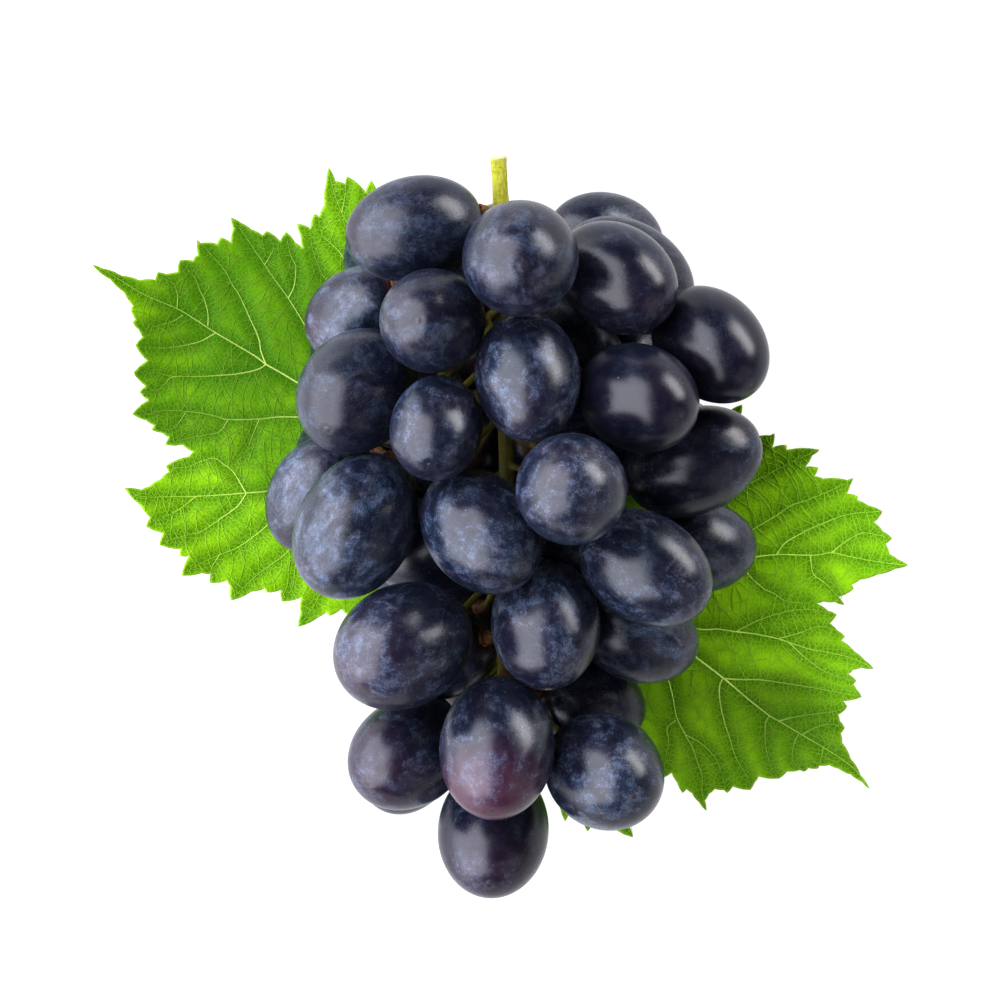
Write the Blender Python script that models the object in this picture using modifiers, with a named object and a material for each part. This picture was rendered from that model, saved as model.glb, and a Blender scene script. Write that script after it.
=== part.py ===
"""A bunch of dark table grapes lying on its side, with two vine leaves under it.

The bunch lies along Y with its cut stem at +Y, and +Z points up from the surface.
"""

import math

import bmesh
import bpy
import numpy as np
from mathutils import Vector

MM = 0.001

# Driving dimensions of the berries, in millimetres
SLENDERNESS = 1.35
BERRY_GAP = 0.45
BERRY_SIDES = 12
BERRY_RINGS = 8
FLOOR_CLEARANCE = 1.15

# Each berry in front: centre x, y, z, width, heading of its blossom end in plan and
# the tilt of that end towards +Z, in millimetres and degrees
FRONT_BERRIES = [
    (-17.0, 59.6, 50, 20.6, 193, 12),
    (3.7, 53.6, 66, 22.9, 275, 84),
    (25.5, 50.5, 30, 21.6, -30, -16),
    (23.3, 50.2, 53, 20.7, -35, 38),
    (40.8, 36.6, 42, 20.8, -45, 38),
    (-12.9, 42.0, 63, 20.5, 180, 78),
    (6.2, 29.4, 60, 20.7, 276, 36),
    (-28.3, 27.2, 50, 22.6, 232, 50),
    (-11.8, 20.6, 62, 18.2, 260, 52),
    (26.6, 26.7, 57, 21.2, -22, 50),
    (38.4, 13.6, 41, 21.0, 20, 6),
    (13.8, 8.5, 68, 22.6, 300, 84),
    (28.9, -7.9, 55, 21.3, -32, 18),
    (-28.4, 0.2, 53, 23.0, 242, 18),
    (-3.4, -0.6, 57, 21.8, -50, 36),
    (-19.6, -22.4, 53, 24.2, 210, 46),
    (9.0, -19.1, 52, 21.4, 273, 42),
    (-18.0, -44.4, 43, 21.3, 215, 46),
    (-0.6, -43.2, 52, 22.7, 265, 34),
    (21.0, -48.4, 45, 22.3, -40, 60),
    (-1.2, -59.6, 31, 22.9, 265, 42),
]
# The same for the berries whose edges show at the sides, behind those in front
SIDE_BERRIES = [
    (21.2, 57.8, 12, 18.2, -10, -30),
    (-28.2, 43.0, 34, 17.8, 215, -35),
    (-36.7, 7.0, 32, 18.6, 240, -20),
    (39.6, -3.6, 27, 17.8, 0, -25),
    (27.0, -21.5, 32, 19.0, -20, -25),
    (17.9, -34.5, 29, 17.8, -15, -30),
    (-17.6, -44.6, 20, 19.4, 245, -20),
]
# And for those deep inside and on the back, which rest on the leaves and the surface
INNER_BERRIES = [
    (-12.5, -3.5, 36, 19.0, 190, -5),
    (-5.5, -26.0, 28, 17.6, 200, -40),
    (11.0, 35.0, 38, 18.0, 320, 5),
    (-10.0, 51.0, 34, 17.6, 120, -40),
    (-20.0, 24.0, 32, 18.0, 190, -30),
    (21.0, 14.0, 33, 18.0, 0, -30),
    (19.0, -7.0, 33, 18.0, 340, -30),
    (-15.0, 53.5, 14, 18.6, 150, -50),
    (4.0, 53.0, 14, 18.6, 60, -60),
    (-26.0, 38.0, 13, 19.0, 170, -50),
    (-3.0, 37.0, 15, 19.4, 90, -75),
    (27.0, 38.0, 13, 19.0, 10, -60),
    (-27.0, 17.0, 14, 18.6, 180, -60),
    (-9.0, 16.0, 15, 19.6, 180, -70),
    (12.0, 20.0, 14, 19.2, 10, -65),
    (33.0, 18.0, 15, 19.0, 10, -40),
    (-21.0, -4.0, 14, 19.6, 190, -50),
    (2.0, -3.0, 14, 20.0, 270, -75),
    (20.5, -10.0, 13, 19.0, 0, -60),
    (-13.0, -29.0, 13, 19.6, 210, -50),
    (9.0, -26.0, 14, 19.6, 330, -60),
    (0.0, -46.0, 14, 19.6, 280, -60),
]
# How freely a berry may be nudged along x, y and z while the bunch settles
FRONT_FREEDOM = (0.02, 0.02, 0.35)
SIDE_FREEDOM = (0.03, 0.03, 0.7)
INNER_FREEDOM = (1.0, 1.0, 1.0)
SETTLE_ROUNDS = 360
SETTLE_SHARE = 0.45
SETTLE_WAYS = 160
# While they settle, berries sink back towards their planned height, and those
# planned below the resting height sink to the surface
PULLED_ROUNDS = 260
PULL_SHARE = 0.03
RESTING_HEIGHT = 20
SINK_STEP = 0.12

# The stem: the centre line of the main stalk from its cut end to the tip of the
# bunch, as x, y, z and radius in millimetres
STALK = [
    (-0.4, 74.6, 43.6, 1.85),
    (-0.3, 73.4, 43.5, 1.60),
    (0.0, 69.0, 43.0, 1.55),
    (0.3, 64.0, 42.2, 1.70),
    (1.0, 56.0, 40.5, 1.80),
    (1.2, 46.0, 39.0, 1.70),
    (1.0, 34.0, 38.5, 1.70),
    (1.2, 20.0, 38.5, 1.65),
    (1.4, 8.0, 38.5, 1.55),
    (1.0, -6.0, 38.5, 1.50),
    (0.6, -18.0, 38.5, 1.40),
    (0.6, -28.0, 38.0, 1.35),
    (0.2, -40.0, 36.5, 1.20),
    (-0.6, -47.0, 35.0, 1.00),
]
STALK_SPACING = 3.0
STALK_SIDES_STEP = 2
# The twig to each berry: it ends in a wider cap, which tapers over a share of its
# length, and thickens with the number of berries it carries
PEDICEL_RADIUS = 0.72
CAP_RADIUS = 1.75
CAP_LENGTH = 2.3
CAP_SHOULDER = 0.45
CAP_TAPER = 0.85
CAP_MIDDLE = 0.6
STEM_GAP = 0.35
BRANCH_GROWTH = 0.30
BRANCH_LIMIT = 1.25
TWIG_SIDES_STEP = 1
# How the twigs find their way between the berries, over a grid of the free space:
# they join the stalk below its bare upper end, at a slant towards that end
BARE_LENGTH = 13.0
SLANT = 0.5
MEET_SPACING = 1.0
CELL = 1.1
GRID_MARGIN = 12
FLOOD_ROUNDS = 90
SEARCH_CELLS = 4
GAP_SHARE = 0.7
WAY_SPACING = 1.2
EASE_ROUNDS = 60
EASE_SHARE = 0.25
CLEAR_ROUNDS = 3
JOIN_DISTANCE = 2.0
FEWEST_POINTS = 4
END_POINTS = 2
KEPT_POINT = 3

# The leaves: outline in plan round from the top of each leaf, in millimetres. The
# points under the bunch close the lobes that it hides.
LEFT_OUTLINE = [
    (-19.0, 63.5), (-23.0, 66.2), (-24.6, 67.4), (-25.9, 70.1), (-27.0, 67.7),
    (-30.7, 70.9), (-31.2, 69.4), (-33.1, 69.9), (-34.4, 72.6), (-34.9, 69.9),
    (-35.3, 65.2), (-36.3, 62.8), (-37.4, 63.3), (-38.1, 60.4), (-40.8, 61.4),
    (-40.1, 59.0), (-39.6, 56.3), (-41.2, 57.6), (-43.0, 59.7), (-44.2, 57.9),
    (-46.9, 59.9), (-47.7, 59.0), (-50.0, 60.2), (-52.0, 61.5), (-54.1, 62.6),
    (-53.6, 60.4), (-54.1, 57.6), (-56.1, 58.6), (-56.9, 57.3), (-58.8, 57.6),
    (-60.3, 57.4), (-60.9, 58.2), (-60.7, 55.0), (-61.4, 54.7), (-61.7, 53.9),
    (-64.4, 54.0), (-64.8, 51.6), (-67.0, 51.2), (-68.8, 51.6), (-69.3, 50.1),
    (-72.5, 50.0), (-76.0, 50.9), (-80.0, 52.4), (-82.0, 53.1), (-78.3, 50.1),
    (-75.6, 47.6), (-73.8, 44.9), (-74.2, 44.0), (-73.3, 42.1), (-73.9, 41.5),
    (-72.6, 40.0), (-71.9, 38.6), (-73.3, 36.9), (-71.0, 33.8), (-73.7, 31.4),
    (-71.3, 28.7), (-72.5, 27.5), (-70.8, 25.9), (-74.0, 23.1), (-71.2, 21.8),
    (-69.5, 20.8), (-70.1, 19.9), (-68.0, 19.3), (-66.6, 18.4), (-67.3, 16.9),
    (-63.9, 16.9), (-61.8, 15.5), (-62.5, 14.6), (-67.2, 12.7), (-66.6, 11.5),
    (-68.3, 10.0), (-70.6, 8.5), (-72.2, 7.9), (-75.5, 8.2), (-72.3, 4.7),
    (-70.4, 2.3), (-71.2, 0.5), (-67.7, -0.9), (-68.5, -3.2), (-64.2, -4.1),
    (-64.4, -5.5), (-62.6, -5.5), (-64.0, -9.4), (-59.9, -8.9), (-58.1, -9.1),
    (-58.3, -10.9), (-54.9, -10.4), (-54.2, -11.6), (-54.1, -14.4), (-50.0, -12.6),
    (-47.3, -12.0), (-46.9, -12.8), (-44.1, -12.3), (-43.9, -14.6), (-40.0, -13.8),
    (-40.1, -17.0), (-40.6, -19.7), (-36.4, -17.7), (-34.9, -16.7), (-34.3, -17.5),
    (-31.9, -16.1), (-30.6, -17.3), (-26.5, -19.0), (-22.0, -18.0), (-17.5, -13.0),
    (-15.5, -5.0), (-16.0, 4.0), (-18.5, 11.5), (-22.5, 17.0), (-25.5, 20.0),
    (-21.0, 23.5), (-13.5, 25.5), (-6.0, 32.0), (-1.5, 40.0), (1.5, 48.0),
    (1.0, 54.5), (-4.0, 58.0), (-9.0, 60.5), (-14.0, 62.5),
]
RIGHT_OUTLINE = [
    (41.0, 21.5), (46.0, 23.6), (48.7, 25.0), (48.4, 22.8), (49.6, 19.6),
    (52.2, 18.7), (54.3, 18.8), (55.2, 19.2), (54.8, 16.4), (57.6, 16.9),
    (57.6, 15.9), (64.3, 15.9), (62.8, 14.8), (61.4, 12.5), (64.0, 12.3),
    (63.2, 10.6), (65.0, 10.1), (69.9, 9.8), (71.0, 10.2), (70.4, 8.8),
    (69.7, 7.1), (71.9, 6.6), (71.8, 5.8), (74.0, 4.7), (76.9, 3.5),
    (75.2, 1.3), (77.0, -0.5), (78.8, -1.9), (77.5, -3.0), (78.3, -5.1),
    (80.0, -6.2), (82.0, -7.3), (79.5, -8.0), (75.8, -9.2), (72.4, -10.2),
    (70.7, -11.2), (71.1, -12.1), (68.1, -13.7), (69.2, -15.3), (67.3, -14.7),
    (65.0, -14.6), (63.7, -15.0), (66.0, -16.5), (67.7, -17.2), (66.3, -19.0),
    (67.8, -20.4), (69.3, -21.6), (68.6, -22.4), (71.3, -24.7), (73.3, -26.4),
    (75.1, -28.1), (72.6, -27.9), (71.0, -28.3), (70.0, -29.2), (71.6, -30.5),
    (71.0, -31.3), (71.7, -32.3), (72.7, -33.8), (69.0, -34.6), (69.8, -35.8),
    (68.0, -37.4), (68.3, -38.6), (69.3, -40.0), (68.5, -41.1), (68.8, -43.0),
    (70.5, -46.2), (72.5, -49.5), (74.3, -52.3), (72.8, -50.9), (70.5, -49.4),
    (68.0, -48.2), (66.2, -47.5), (64.2, -47.6), (63.9, -48.2), (62.0, -48.1),
    (61.2, -48.8), (60.3, -48.5), (57.7, -48.8), (56.1, -50.2), (52.0, -49.8),
    (51.2, -51.0), (50.3, -52.5), (46.8, -51.8), (45.7, -53.1), (45.0, -52.5),
    (43.2, -52.3), (42.0, -53.3), (41.2, -54.6), (41.5, -56.7), (40.0, -55.0),
    (38.6, -53.2), (37.5, -52.3), (36.7, -53.1), (35.6, -51.0), (34.5, -49.0),
    (32.9, -50.0), (29.8, -53.0), (27.6, -57.0), (25.8, -59.4), (26.7, -62.0),
    (23.0, -60.3), (18.7, -59.0), (17.6, -60.8), (16.6, -58.4), (13.9, -57.0),
    (13.1, -58.8), (12.1, -56.2), (12.4, -50.0), (11.4, -42.0), (12.6, -33.0),
    (17.0, -24.5), (22.0, -19.5), (26.5, -16.5), (23.8, -12.0), (22.5, -4.0),
    (24.0, 5.0), (27.5, 13.0), (34.0, 18.5),
]
# Where each leaf's veins meet its stalk, and the heading of that stalk in plan
LEFT_JUNCTION = (-28.5, 21.5)
LEFT_STALK_HEADING = -31
RIGHT_JUNCTION = (29.0, -17.5)
RIGHT_STALK_HEADING = 142
BLADE_THICKNESS = 0.7
BLADE_GRID = 9.0
FLAT_RADIUS = 34.0
RISE_LENGTH = 34.0
RISE = 7.0
RIPPLE = 2.4
RIPPLES = 5
LEFT_PHASE = 0.6
RIGHT_PHASE = 2.2
LIFT_POWER = 1.6
LEAF_STALK_LENGTH = 11.0
LEAF_STALK_RADIUS = 0.95
LEAF_STALK_INSET = 3.0
LEAF_STALK_TAPER = 0.9
# Points closer than this, in metres, are one
WELD = 1e-6
CUT_TOLERANCE = 2e-5

SKIN_COLOUR = (0.020, 0.024, 0.052, 1.0)
STEM_COLOUR = (0.29, 0.33, 0.06, 1.0)
LEAF_COLOUR = (0.14, 0.34, 0.015, 1.0)

PARTS_COLLECTION = "bunch_of_grapes"
JOIN_COLLECTION = "stem_tubes"


def clear_scene():
    """Start from an empty scene."""
    for obj in list(bpy.data.objects):
        bpy.data.objects.remove(obj, do_unlink=True)


def new_collection(name):
    """A collection linked to the scene."""
    collection = bpy.data.collections.new(name)
    bpy.context.scene.collection.children.link(collection)
    return collection


def finish(name, colour, roughness):
    """A plain material with one colour and roughness."""
    material = bpy.data.materials.new(name)
    material.use_nodes = True
    shader = material.node_tree.nodes["Principled BSDF"]
    shader.inputs["Base Color"].default_value = colour
    shader.inputs["Roughness"].default_value = roughness
    shader.inputs["Metallic"].default_value = 0.0
    return material


def heading_vector(heading, tilt):
    """The unit vector at a heading in plan and a tilt above it, in degrees."""
    turn = math.radians(heading)
    rise = math.radians(tilt)
    flat = math.cos(rise)
    return np.array([flat * math.cos(turn), flat * math.sin(turn), math.sin(rise)])


def even_directions(count):
    """Unit vectors spread evenly over a sphere."""
    k = np.arange(count) + 0.5
    rise = 1 - 2 * k / count
    turn = math.pi * (1 + math.sqrt(5)) * k
    flat = np.sqrt(1 - rise ** 2)
    return np.stack([flat * np.cos(turn), flat * np.sin(turn), rise], axis=1)


class Bunch:
    """The berries as spheroids: centres, axes towards the blossom end, half sizes."""

    def __init__(self):
        rows = FRONT_BERRIES + SIDE_BERRIES + INNER_BERRIES
        self.centre = np.array([row[:3] for row in rows], dtype=float)
        self.axis = np.array([heading_vector(row[4], row[5]) for row in rows])
        self.wide = np.array([row[3] / 2 for row in rows])
        self.long = self.wide * SLENDERNESS
        freedom = [FRONT_FREEDOM] * len(FRONT_BERRIES)
        freedom += [SIDE_FREEDOM] * len(SIDE_BERRIES)
        freedom += [INNER_FREEDOM] * len(INNER_BERRIES)
        self.freedom = np.array(freedom)

    def reach(self, ways):
        """How far each berry reaches from its centre along each direction."""
        along = self.axis @ ways.T
        spread = self.long ** 2 - self.wide ** 2
        return np.sqrt(self.wide[:, None] ** 2 + spread[:, None] * along ** 2)

    def stem_end(self, beyond):
        """The points past each berry's stem end, on its axis."""
        return self.centre - self.axis * (self.long + beyond)[:, None]

    def depth(self, points, margin):
        """For each point and berry: under 1 inside the berry grown by the margin."""
        offset = points[:, None, :] - self.centre[None, :, :]
        along = np.einsum("pbk,bk->pb", offset, self.axis)
        across = np.maximum((offset ** 2).sum(axis=2) - along ** 2, 0)
        return along ** 2 / (self.long + margin) ** 2 + across / (self.wide + margin) ** 2


def push_apart(bunch, ways, reach, first, second, gap, room):
    """The moves that part each pair of round bodies along the easiest direction.

    A pair's second body is a berry's own spheroid; its first body has the given
    reach and centre, and moves with the berry that owns it, or is fixed at -1.
    """
    centre_a, reach_a, owner = first
    i, j = second
    offset = bunch.centre[j] - centre_a[i]
    near = (offset ** 2).sum(axis=1) < room ** 2
    i, j, offset = i[near], j[near], offset[near]
    overlap = reach_a[i] + reach[j] + gap - offset @ ways.T
    best = overlap.argmin(axis=1)
    depth = overlap[np.arange(len(best)), best]
    hit = depth > 0
    i, j, depth = i[hit], j[hit], depth[hit]
    way = ways[best[hit]]
    fixed = owner[i] < 0
    freedom_a = np.where(fixed[:, None], 0.0, bunch.freedom[owner[i]])
    freedom_b = bunch.freedom[j]
    give = (way ** 2 * (freedom_a + freedom_b)).sum(axis=1)
    step = (depth / give)[:, None] * way
    moves = np.zeros_like(bunch.centre)
    np.add.at(moves, j, step * freedom_b)
    np.add.at(moves, owner[i][~fixed], -(step * freedom_a)[~fixed])
    return moves, float(depth.max()) if len(depth) else 0.0


def settle(bunch, stalk_points, stalk_radii):
    """Part the berries from each other, from their caps, the stalk and the floor."""
    ways = even_directions(SETTLE_WAYS)
    reach = bunch.reach(ways)
    count = len(bunch.centre)
    each = np.arange(count)
    pair_i, pair_j = np.triu_indices(count, 1)
    cap_i, cap_j = np.nonzero(each[:, None] != each[None, :])
    cap_reach = np.full((count, len(ways)), CAP_RADIUS)
    stalk_i, stalk_j = np.indices((len(stalk_points), count)).reshape(2, -1)
    stalk_reach = np.repeat(stalk_radii[:, None], len(ways), axis=1)
    stalk_owner = np.full(len(stalk_points), -1)
    down = bunch.reach(np.array([[0.0, 0.0, -1.0]]))[:, 0]
    room = 2 * bunch.long.max() + 1
    planned = bunch.centre.copy()
    resting = planned[:, 2] < RESTING_HEIGHT
    worst = 0.0
    for turn in range(SETTLE_ROUNDS):
        if turn < PULLED_ROUNDS:
            bunch.centre += PULL_SHARE * (planned - bunch.centre)
            bunch.centre[resting, 2] -= SINK_STEP
        caps = bunch.stem_end(CAP_LENGTH * CAP_MIDDLE)
        tests = (
            ((bunch.centre, reach, each), (pair_i, pair_j), BERRY_GAP),
            ((caps, cap_reach, each), (cap_i, cap_j), STEM_GAP),
            ((stalk_points, stalk_reach, stalk_owner), (stalk_i, stalk_j), STEM_GAP),
        )
        worst = 0.0
        total = np.zeros_like(bunch.centre)
        for first, second, gap in tests:
            moves, depth = push_apart(bunch, ways, reach, first, second, gap, room)
            total += moves
            worst = max(worst, depth)
        bunch.centre += SETTLE_SHARE * total
        lowest = bunch.centre[:, 2] - down
        bunch.centre[:, 2] += np.maximum(FLOOR_CLEARANCE - lowest, 0)
    return worst


def smooth_line(points, spacing):
    """Points at even steps along a smooth curve through the given ones."""
    points = np.array(points, dtype=float)
    padded = np.vstack([2 * points[0] - points[1], points, 2 * points[-1] - points[-2]])
    line = []
    for k in range(1, len(padded) - 2):
        a, b, c, d = padded[k - 1:k + 3]
        steps = max(1, round(np.linalg.norm((c - b)[:3]) / spacing))
        for t in np.arange(steps) / steps:
            bend = (2 * a - 5 * b + 4 * c - d) * t + (3 * b - a - 3 * c + d) * t ** 2
            line.append(b + 0.5 * t * ((c - a) + bend))
    line.append(points[-1])
    return np.array(line)


def shifted(cells, step):
    """Two matching views of a grid, one cell step apart."""
    here = tuple(slice(max(s, 0), n + min(s, 0)) for s, n in zip(step, cells.shape))
    there = tuple(slice(max(-s, 0), n + min(-s, 0)) for s, n in zip(step, cells.shape))
    return here, there


class Gaps:
    """The free space between the berries, and the way from each cell to the stalk."""

    def __init__(self, bunch, stalk_points, margin):
        low = bunch.centre.min(axis=0) - GRID_MARGIN
        high = bunch.centre.max(axis=0) + GRID_MARGIN
        self.low = low
        shape = np.ceil((high - low) / CELL).astype(int)
        mesh = np.indices(shape).reshape(3, -1).T * CELL + low
        inside = np.zeros(len(mesh), dtype=bool)
        for k in range(len(bunch.centre)):
            offset = mesh - bunch.centre[k]
            along = offset @ bunch.axis[k]
            across = (offset ** 2).sum(axis=1) - along ** 2
            size = bunch.long[k] + margin, bunch.wide[k] + margin
            inside |= along ** 2 / size[0] ** 2 + across / size[1] ** 2 < 1
        self.blocked = inside.reshape(shape)
        self.way = np.full(shape, np.inf)
        self.ends = set()
        for index, point in enumerate(stalk_points):
            cell = self.cell(point)
            if index * MEET_SPACING > BARE_LENGTH and cell not in self.ends:
                self.way[cell] = SLANT * index * MEET_SPACING
                self.ends.add(cell)
        self.flood()

    def cell(self, point):
        """The grid cell that holds a point."""
        return tuple(np.round((np.array(point) - self.low) / CELL).astype(int))

    def flood(self):
        """Spread the length of the way to the stalk through the free cells."""
        near = np.indices((3, 3, 3)).reshape(3, -1).T - 1
        self.steps = [tuple(step) for step in near if any(step)]
        for _ in range(FLOOD_ROUNDS):
            before = self.way.copy()
            for step in self.steps:
                here, there = shifted(self.way, step)
                length = math.sqrt(sum(s * s for s in step))
                closer = np.minimum(self.way[here], before[there] + length)
                self.way[here] = np.where(self.blocked[here], self.way[here], closer)
            if np.array_equal(before, self.way):
                break

    def walk(self, start):
        """The cells from a point to the stalk, each a step closer."""
        cell = self.nearest_open(start)
        line = [cell]
        while cell not in self.ends:
            around = [tuple(np.add(cell, step)) for step in self.steps]
            around = [c for c in around if all(0 <= k < n for k, n in zip(c, self.way.shape))]
            cell = min(around, key=lambda c: self.way[c])
            line.append(cell)
        return np.array(line) * CELL + self.low

    def nearest_open(self, point):
        """The reachable cell nearest to a point."""
        middle = np.array(self.cell(point))
        across = 2 * SEARCH_CELLS + 1
        spread = np.indices((across, across, across)).reshape(3, -1).T - SEARCH_CELLS
        near = [tuple(middle + s) for s in spread]
        near = [c for c in near if all(0 <= k < n for k, n in zip(c, self.way.shape))]
        near = [c for c in near if np.isfinite(self.way[c])]
        return min(near, key=lambda c: ((np.array(c) - middle) ** 2).sum())


def ease(line, bunch, radius):
    """Smooth a way between the berries and keep it clear of them."""
    line = line.copy()
    for _ in range(EASE_ROUNDS):
        line[1:-1] += EASE_SHARE * (line[:-2] + line[2:] - 2 * line[1:-1])
        for _ in range(CLEAR_ROUNDS):
            depth = bunch.depth(line[1:-1], radius + STEM_GAP)
            berry = depth.argmin(axis=1)
            nearest = depth[np.arange(len(berry)), berry]
            inside = nearest < 1
            middle = bunch.centre[berry[inside]]
            grown = (line[1:-1][inside] - middle) / np.sqrt(nearest[inside])[:, None]
            moved = line[1:-1].copy()
            moved[inside] = middle + grown
            line[1:-1] = moved
    return line


def spaced(line, spacing):
    """The line again with its points at even steps."""
    steps = np.linalg.norm(np.diff(line, axis=0), axis=1)
    run = np.concatenate([[0], np.cumsum(steps)])
    count = max(2, round(run[-1] / spacing) + 1)
    at = np.linspace(0, run[-1], count)
    return np.stack([np.interp(at, run, line[:, k]) for k in range(3)], axis=1)


def twig_ways(bunch, stalk_points):
    """Each berry's way to the stalk, stopping where it meets one already there."""
    meeting_points = spaced(stalk_points, MEET_SPACING)
    gaps = Gaps(bunch, meeting_points, PEDICEL_RADIUS + STEM_GAP * GAP_SHARE)
    starts = bunch.stem_end(STEM_GAP + CAP_LENGTH)
    order = sorted(range(len(starts)), key=lambda k: gaps.way[gaps.nearest_open(starts[k])])
    ways = {}
    joined = {}
    for k in order:
        line = gaps.walk(starts[k])
        line = ease(np.vstack([starts[k], line[1:]]), bunch, PEDICEL_RADIUS)
        line = spaced(line, WAY_SPACING)
        joined[k] = None
        for other in ways:
            if len(ways[other]) < FEWEST_POINTS:
                continue
            away = np.linalg.norm(line[:, None] - ways[other][None, END_POINTS:], axis=2)
            close = away[END_POINTS:].min(axis=1) < JOIN_DISTANCE
            close = np.nonzero(close)[0] + END_POINTS
            if len(close):
                at = close[0]
                meet = END_POINTS + int(away[at].argmin())
                line = np.vstack([line[:at], ways[other][meet]])
                joined[k] = (other, meet)
        ways[k] = line
    return ways, joined, order


def twig_loads(ways, joined, order):
    """How many berries hang on each stretch of each way."""
    loads = {k: np.ones(len(ways[k])) for k in ways}
    for k in reversed(order):
        if joined[k] is not None:
            other, meet = joined[k]
            loads[other][meet:] += loads[k][-1]
    return loads


def tube(name, points, radii, sides_step):
    """A closed round tube along points, with a radius at each, as a mesh object."""
    curve = bpy.data.curves.new(name, "CURVE")
    curve.dimensions = "3D"
    curve.bevel_depth = MM
    curve.bevel_resolution = sides_step
    curve.use_fill_caps = True
    spline = curve.splines.new("POLY")
    spline.points.add(len(points) - 1)
    for spot, place, radius in zip(spline.points, points, radii):
        spot.co = (place[0] * MM, place[1] * MM, place[2] * MM, 1.0)
        spot.radius = radius
    holder = bpy.data.objects.new(name + "_line", curve)
    bpy.context.scene.collection.objects.link(holder)
    evaluated = holder.evaluated_get(bpy.context.evaluated_depsgraph_get())
    mesh = bpy.data.meshes.new_from_object(evaluated)
    bpy.data.objects.remove(holder, do_unlink=True)
    bpy.data.curves.remove(curve)
    tidy = bmesh.new()
    tidy.from_mesh(mesh)
    bmesh.ops.remove_doubles(tidy, verts=tidy.verts, dist=WELD)
    bmesh.ops.recalc_face_normals(tidy, faces=tidy.faces)
    tidy.to_mesh(mesh)
    tidy.free()
    mesh.name = name
    return bpy.data.objects.new(name, mesh)


def apply_join(target, others, solver):
    """Join the objects of a collection into the target, as one closed body."""
    modifier = target.modifiers.new("join", "BOOLEAN")
    modifier.operation = "UNION"
    modifier.operand_type = "COLLECTION"
    modifier.collection = others
    modifier.solver = solver
    evaluated = target.evaluated_get(bpy.context.evaluated_depsgraph_get())
    mesh = bpy.data.meshes.new_from_object(evaluated)
    target.modifiers.clear()
    target.data = mesh
    mesh.name = target.name
    for obj in list(others.objects):
        bpy.data.objects.remove(obj, do_unlink=True)


def make_stem(parts, bunch, stalk, material):
    """The stalk with its twigs and the cap that holds each berry, grown as one."""
    pieces = new_collection(JOIN_COLLECTION)
    stem = tube("stem", stalk[:, :3], stalk[:, 3], STALK_SIDES_STEP)
    parts.objects.link(stem)
    ways, joined, order = twig_ways(bunch, stalk[:, :3])
    loads = twig_loads(ways, joined, order)
    ends = bunch.stem_end(STEM_GAP)
    for k in order:
        line = ways[k]
        keep = np.unique(np.r_[np.arange(0, len(line) - 1, KEPT_POINT), len(line) - 1])
        radii = np.minimum(PEDICEL_RADIUS * loads[k] ** BRANCH_GROWTH, BRANCH_LIMIT)
        cap = [ends[k] - bunch.axis[k] * CAP_LENGTH * share for share in (0, CAP_SHOULDER)]
        points = np.vstack([cap, line[keep]])
        radii = np.concatenate([[CAP_RADIUS, CAP_RADIUS * CAP_TAPER], radii[keep]])
        pieces.objects.link(tube("twig_%02d" % k, points, radii, TWIG_SIDES_STEP))
    apply_join(stem, pieces, "MANIFOLD")
    bpy.data.collections.remove(pieces)
    stem.data.materials.clear()
    stem.data.materials.append(material)
    return stem


def make_berries(parts, bunch, material):
    """The berries, each an oval grape of its own."""
    unit = bpy.data.meshes.new("berry")
    ball = bmesh.new()
    bmesh.ops.create_uvsphere(ball, u_segments=BERRY_SIDES, v_segments=BERRY_RINGS, radius=1.0)
    ball.to_mesh(unit)
    ball.free()
    berries = []
    for k in range(len(bunch.centre)):
        mesh = unit.copy()
        turn = Vector(bunch.axis[k]).to_track_quat("Z", "Y")
        for vertex in mesh.vertices:
            x, y, z = vertex.co
            wide = bunch.wide[k]
            place = Vector((x * wide, y * wide, z * bunch.long[k]))
            vertex.co = (turn @ place) * MM
        mesh.shade_smooth()
        mesh.materials.append(material)
        name = "berry_%02d" % (k + 1)
        mesh.name = name
        berry = bpy.data.objects.new(name, mesh)
        berry.location = Vector(bunch.centre[k]) * MM
        parts.objects.link(berry)
        berries.append(berry)
    return berries


def blade_height(x, y, junction, phase):
    """How far a leaf's underside rises off the surface at a point."""
    from_stalk = math.hypot(x - junction[0], y - junction[1])
    turn = math.atan2(y - junction[1], x - junction[0])
    out = max(0.0, (from_stalk - FLAT_RADIUS) / RISE_LENGTH)
    return (RISE + RIPPLE * math.sin(RIPPLES * turn + phase)) * out ** LIFT_POWER


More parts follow.
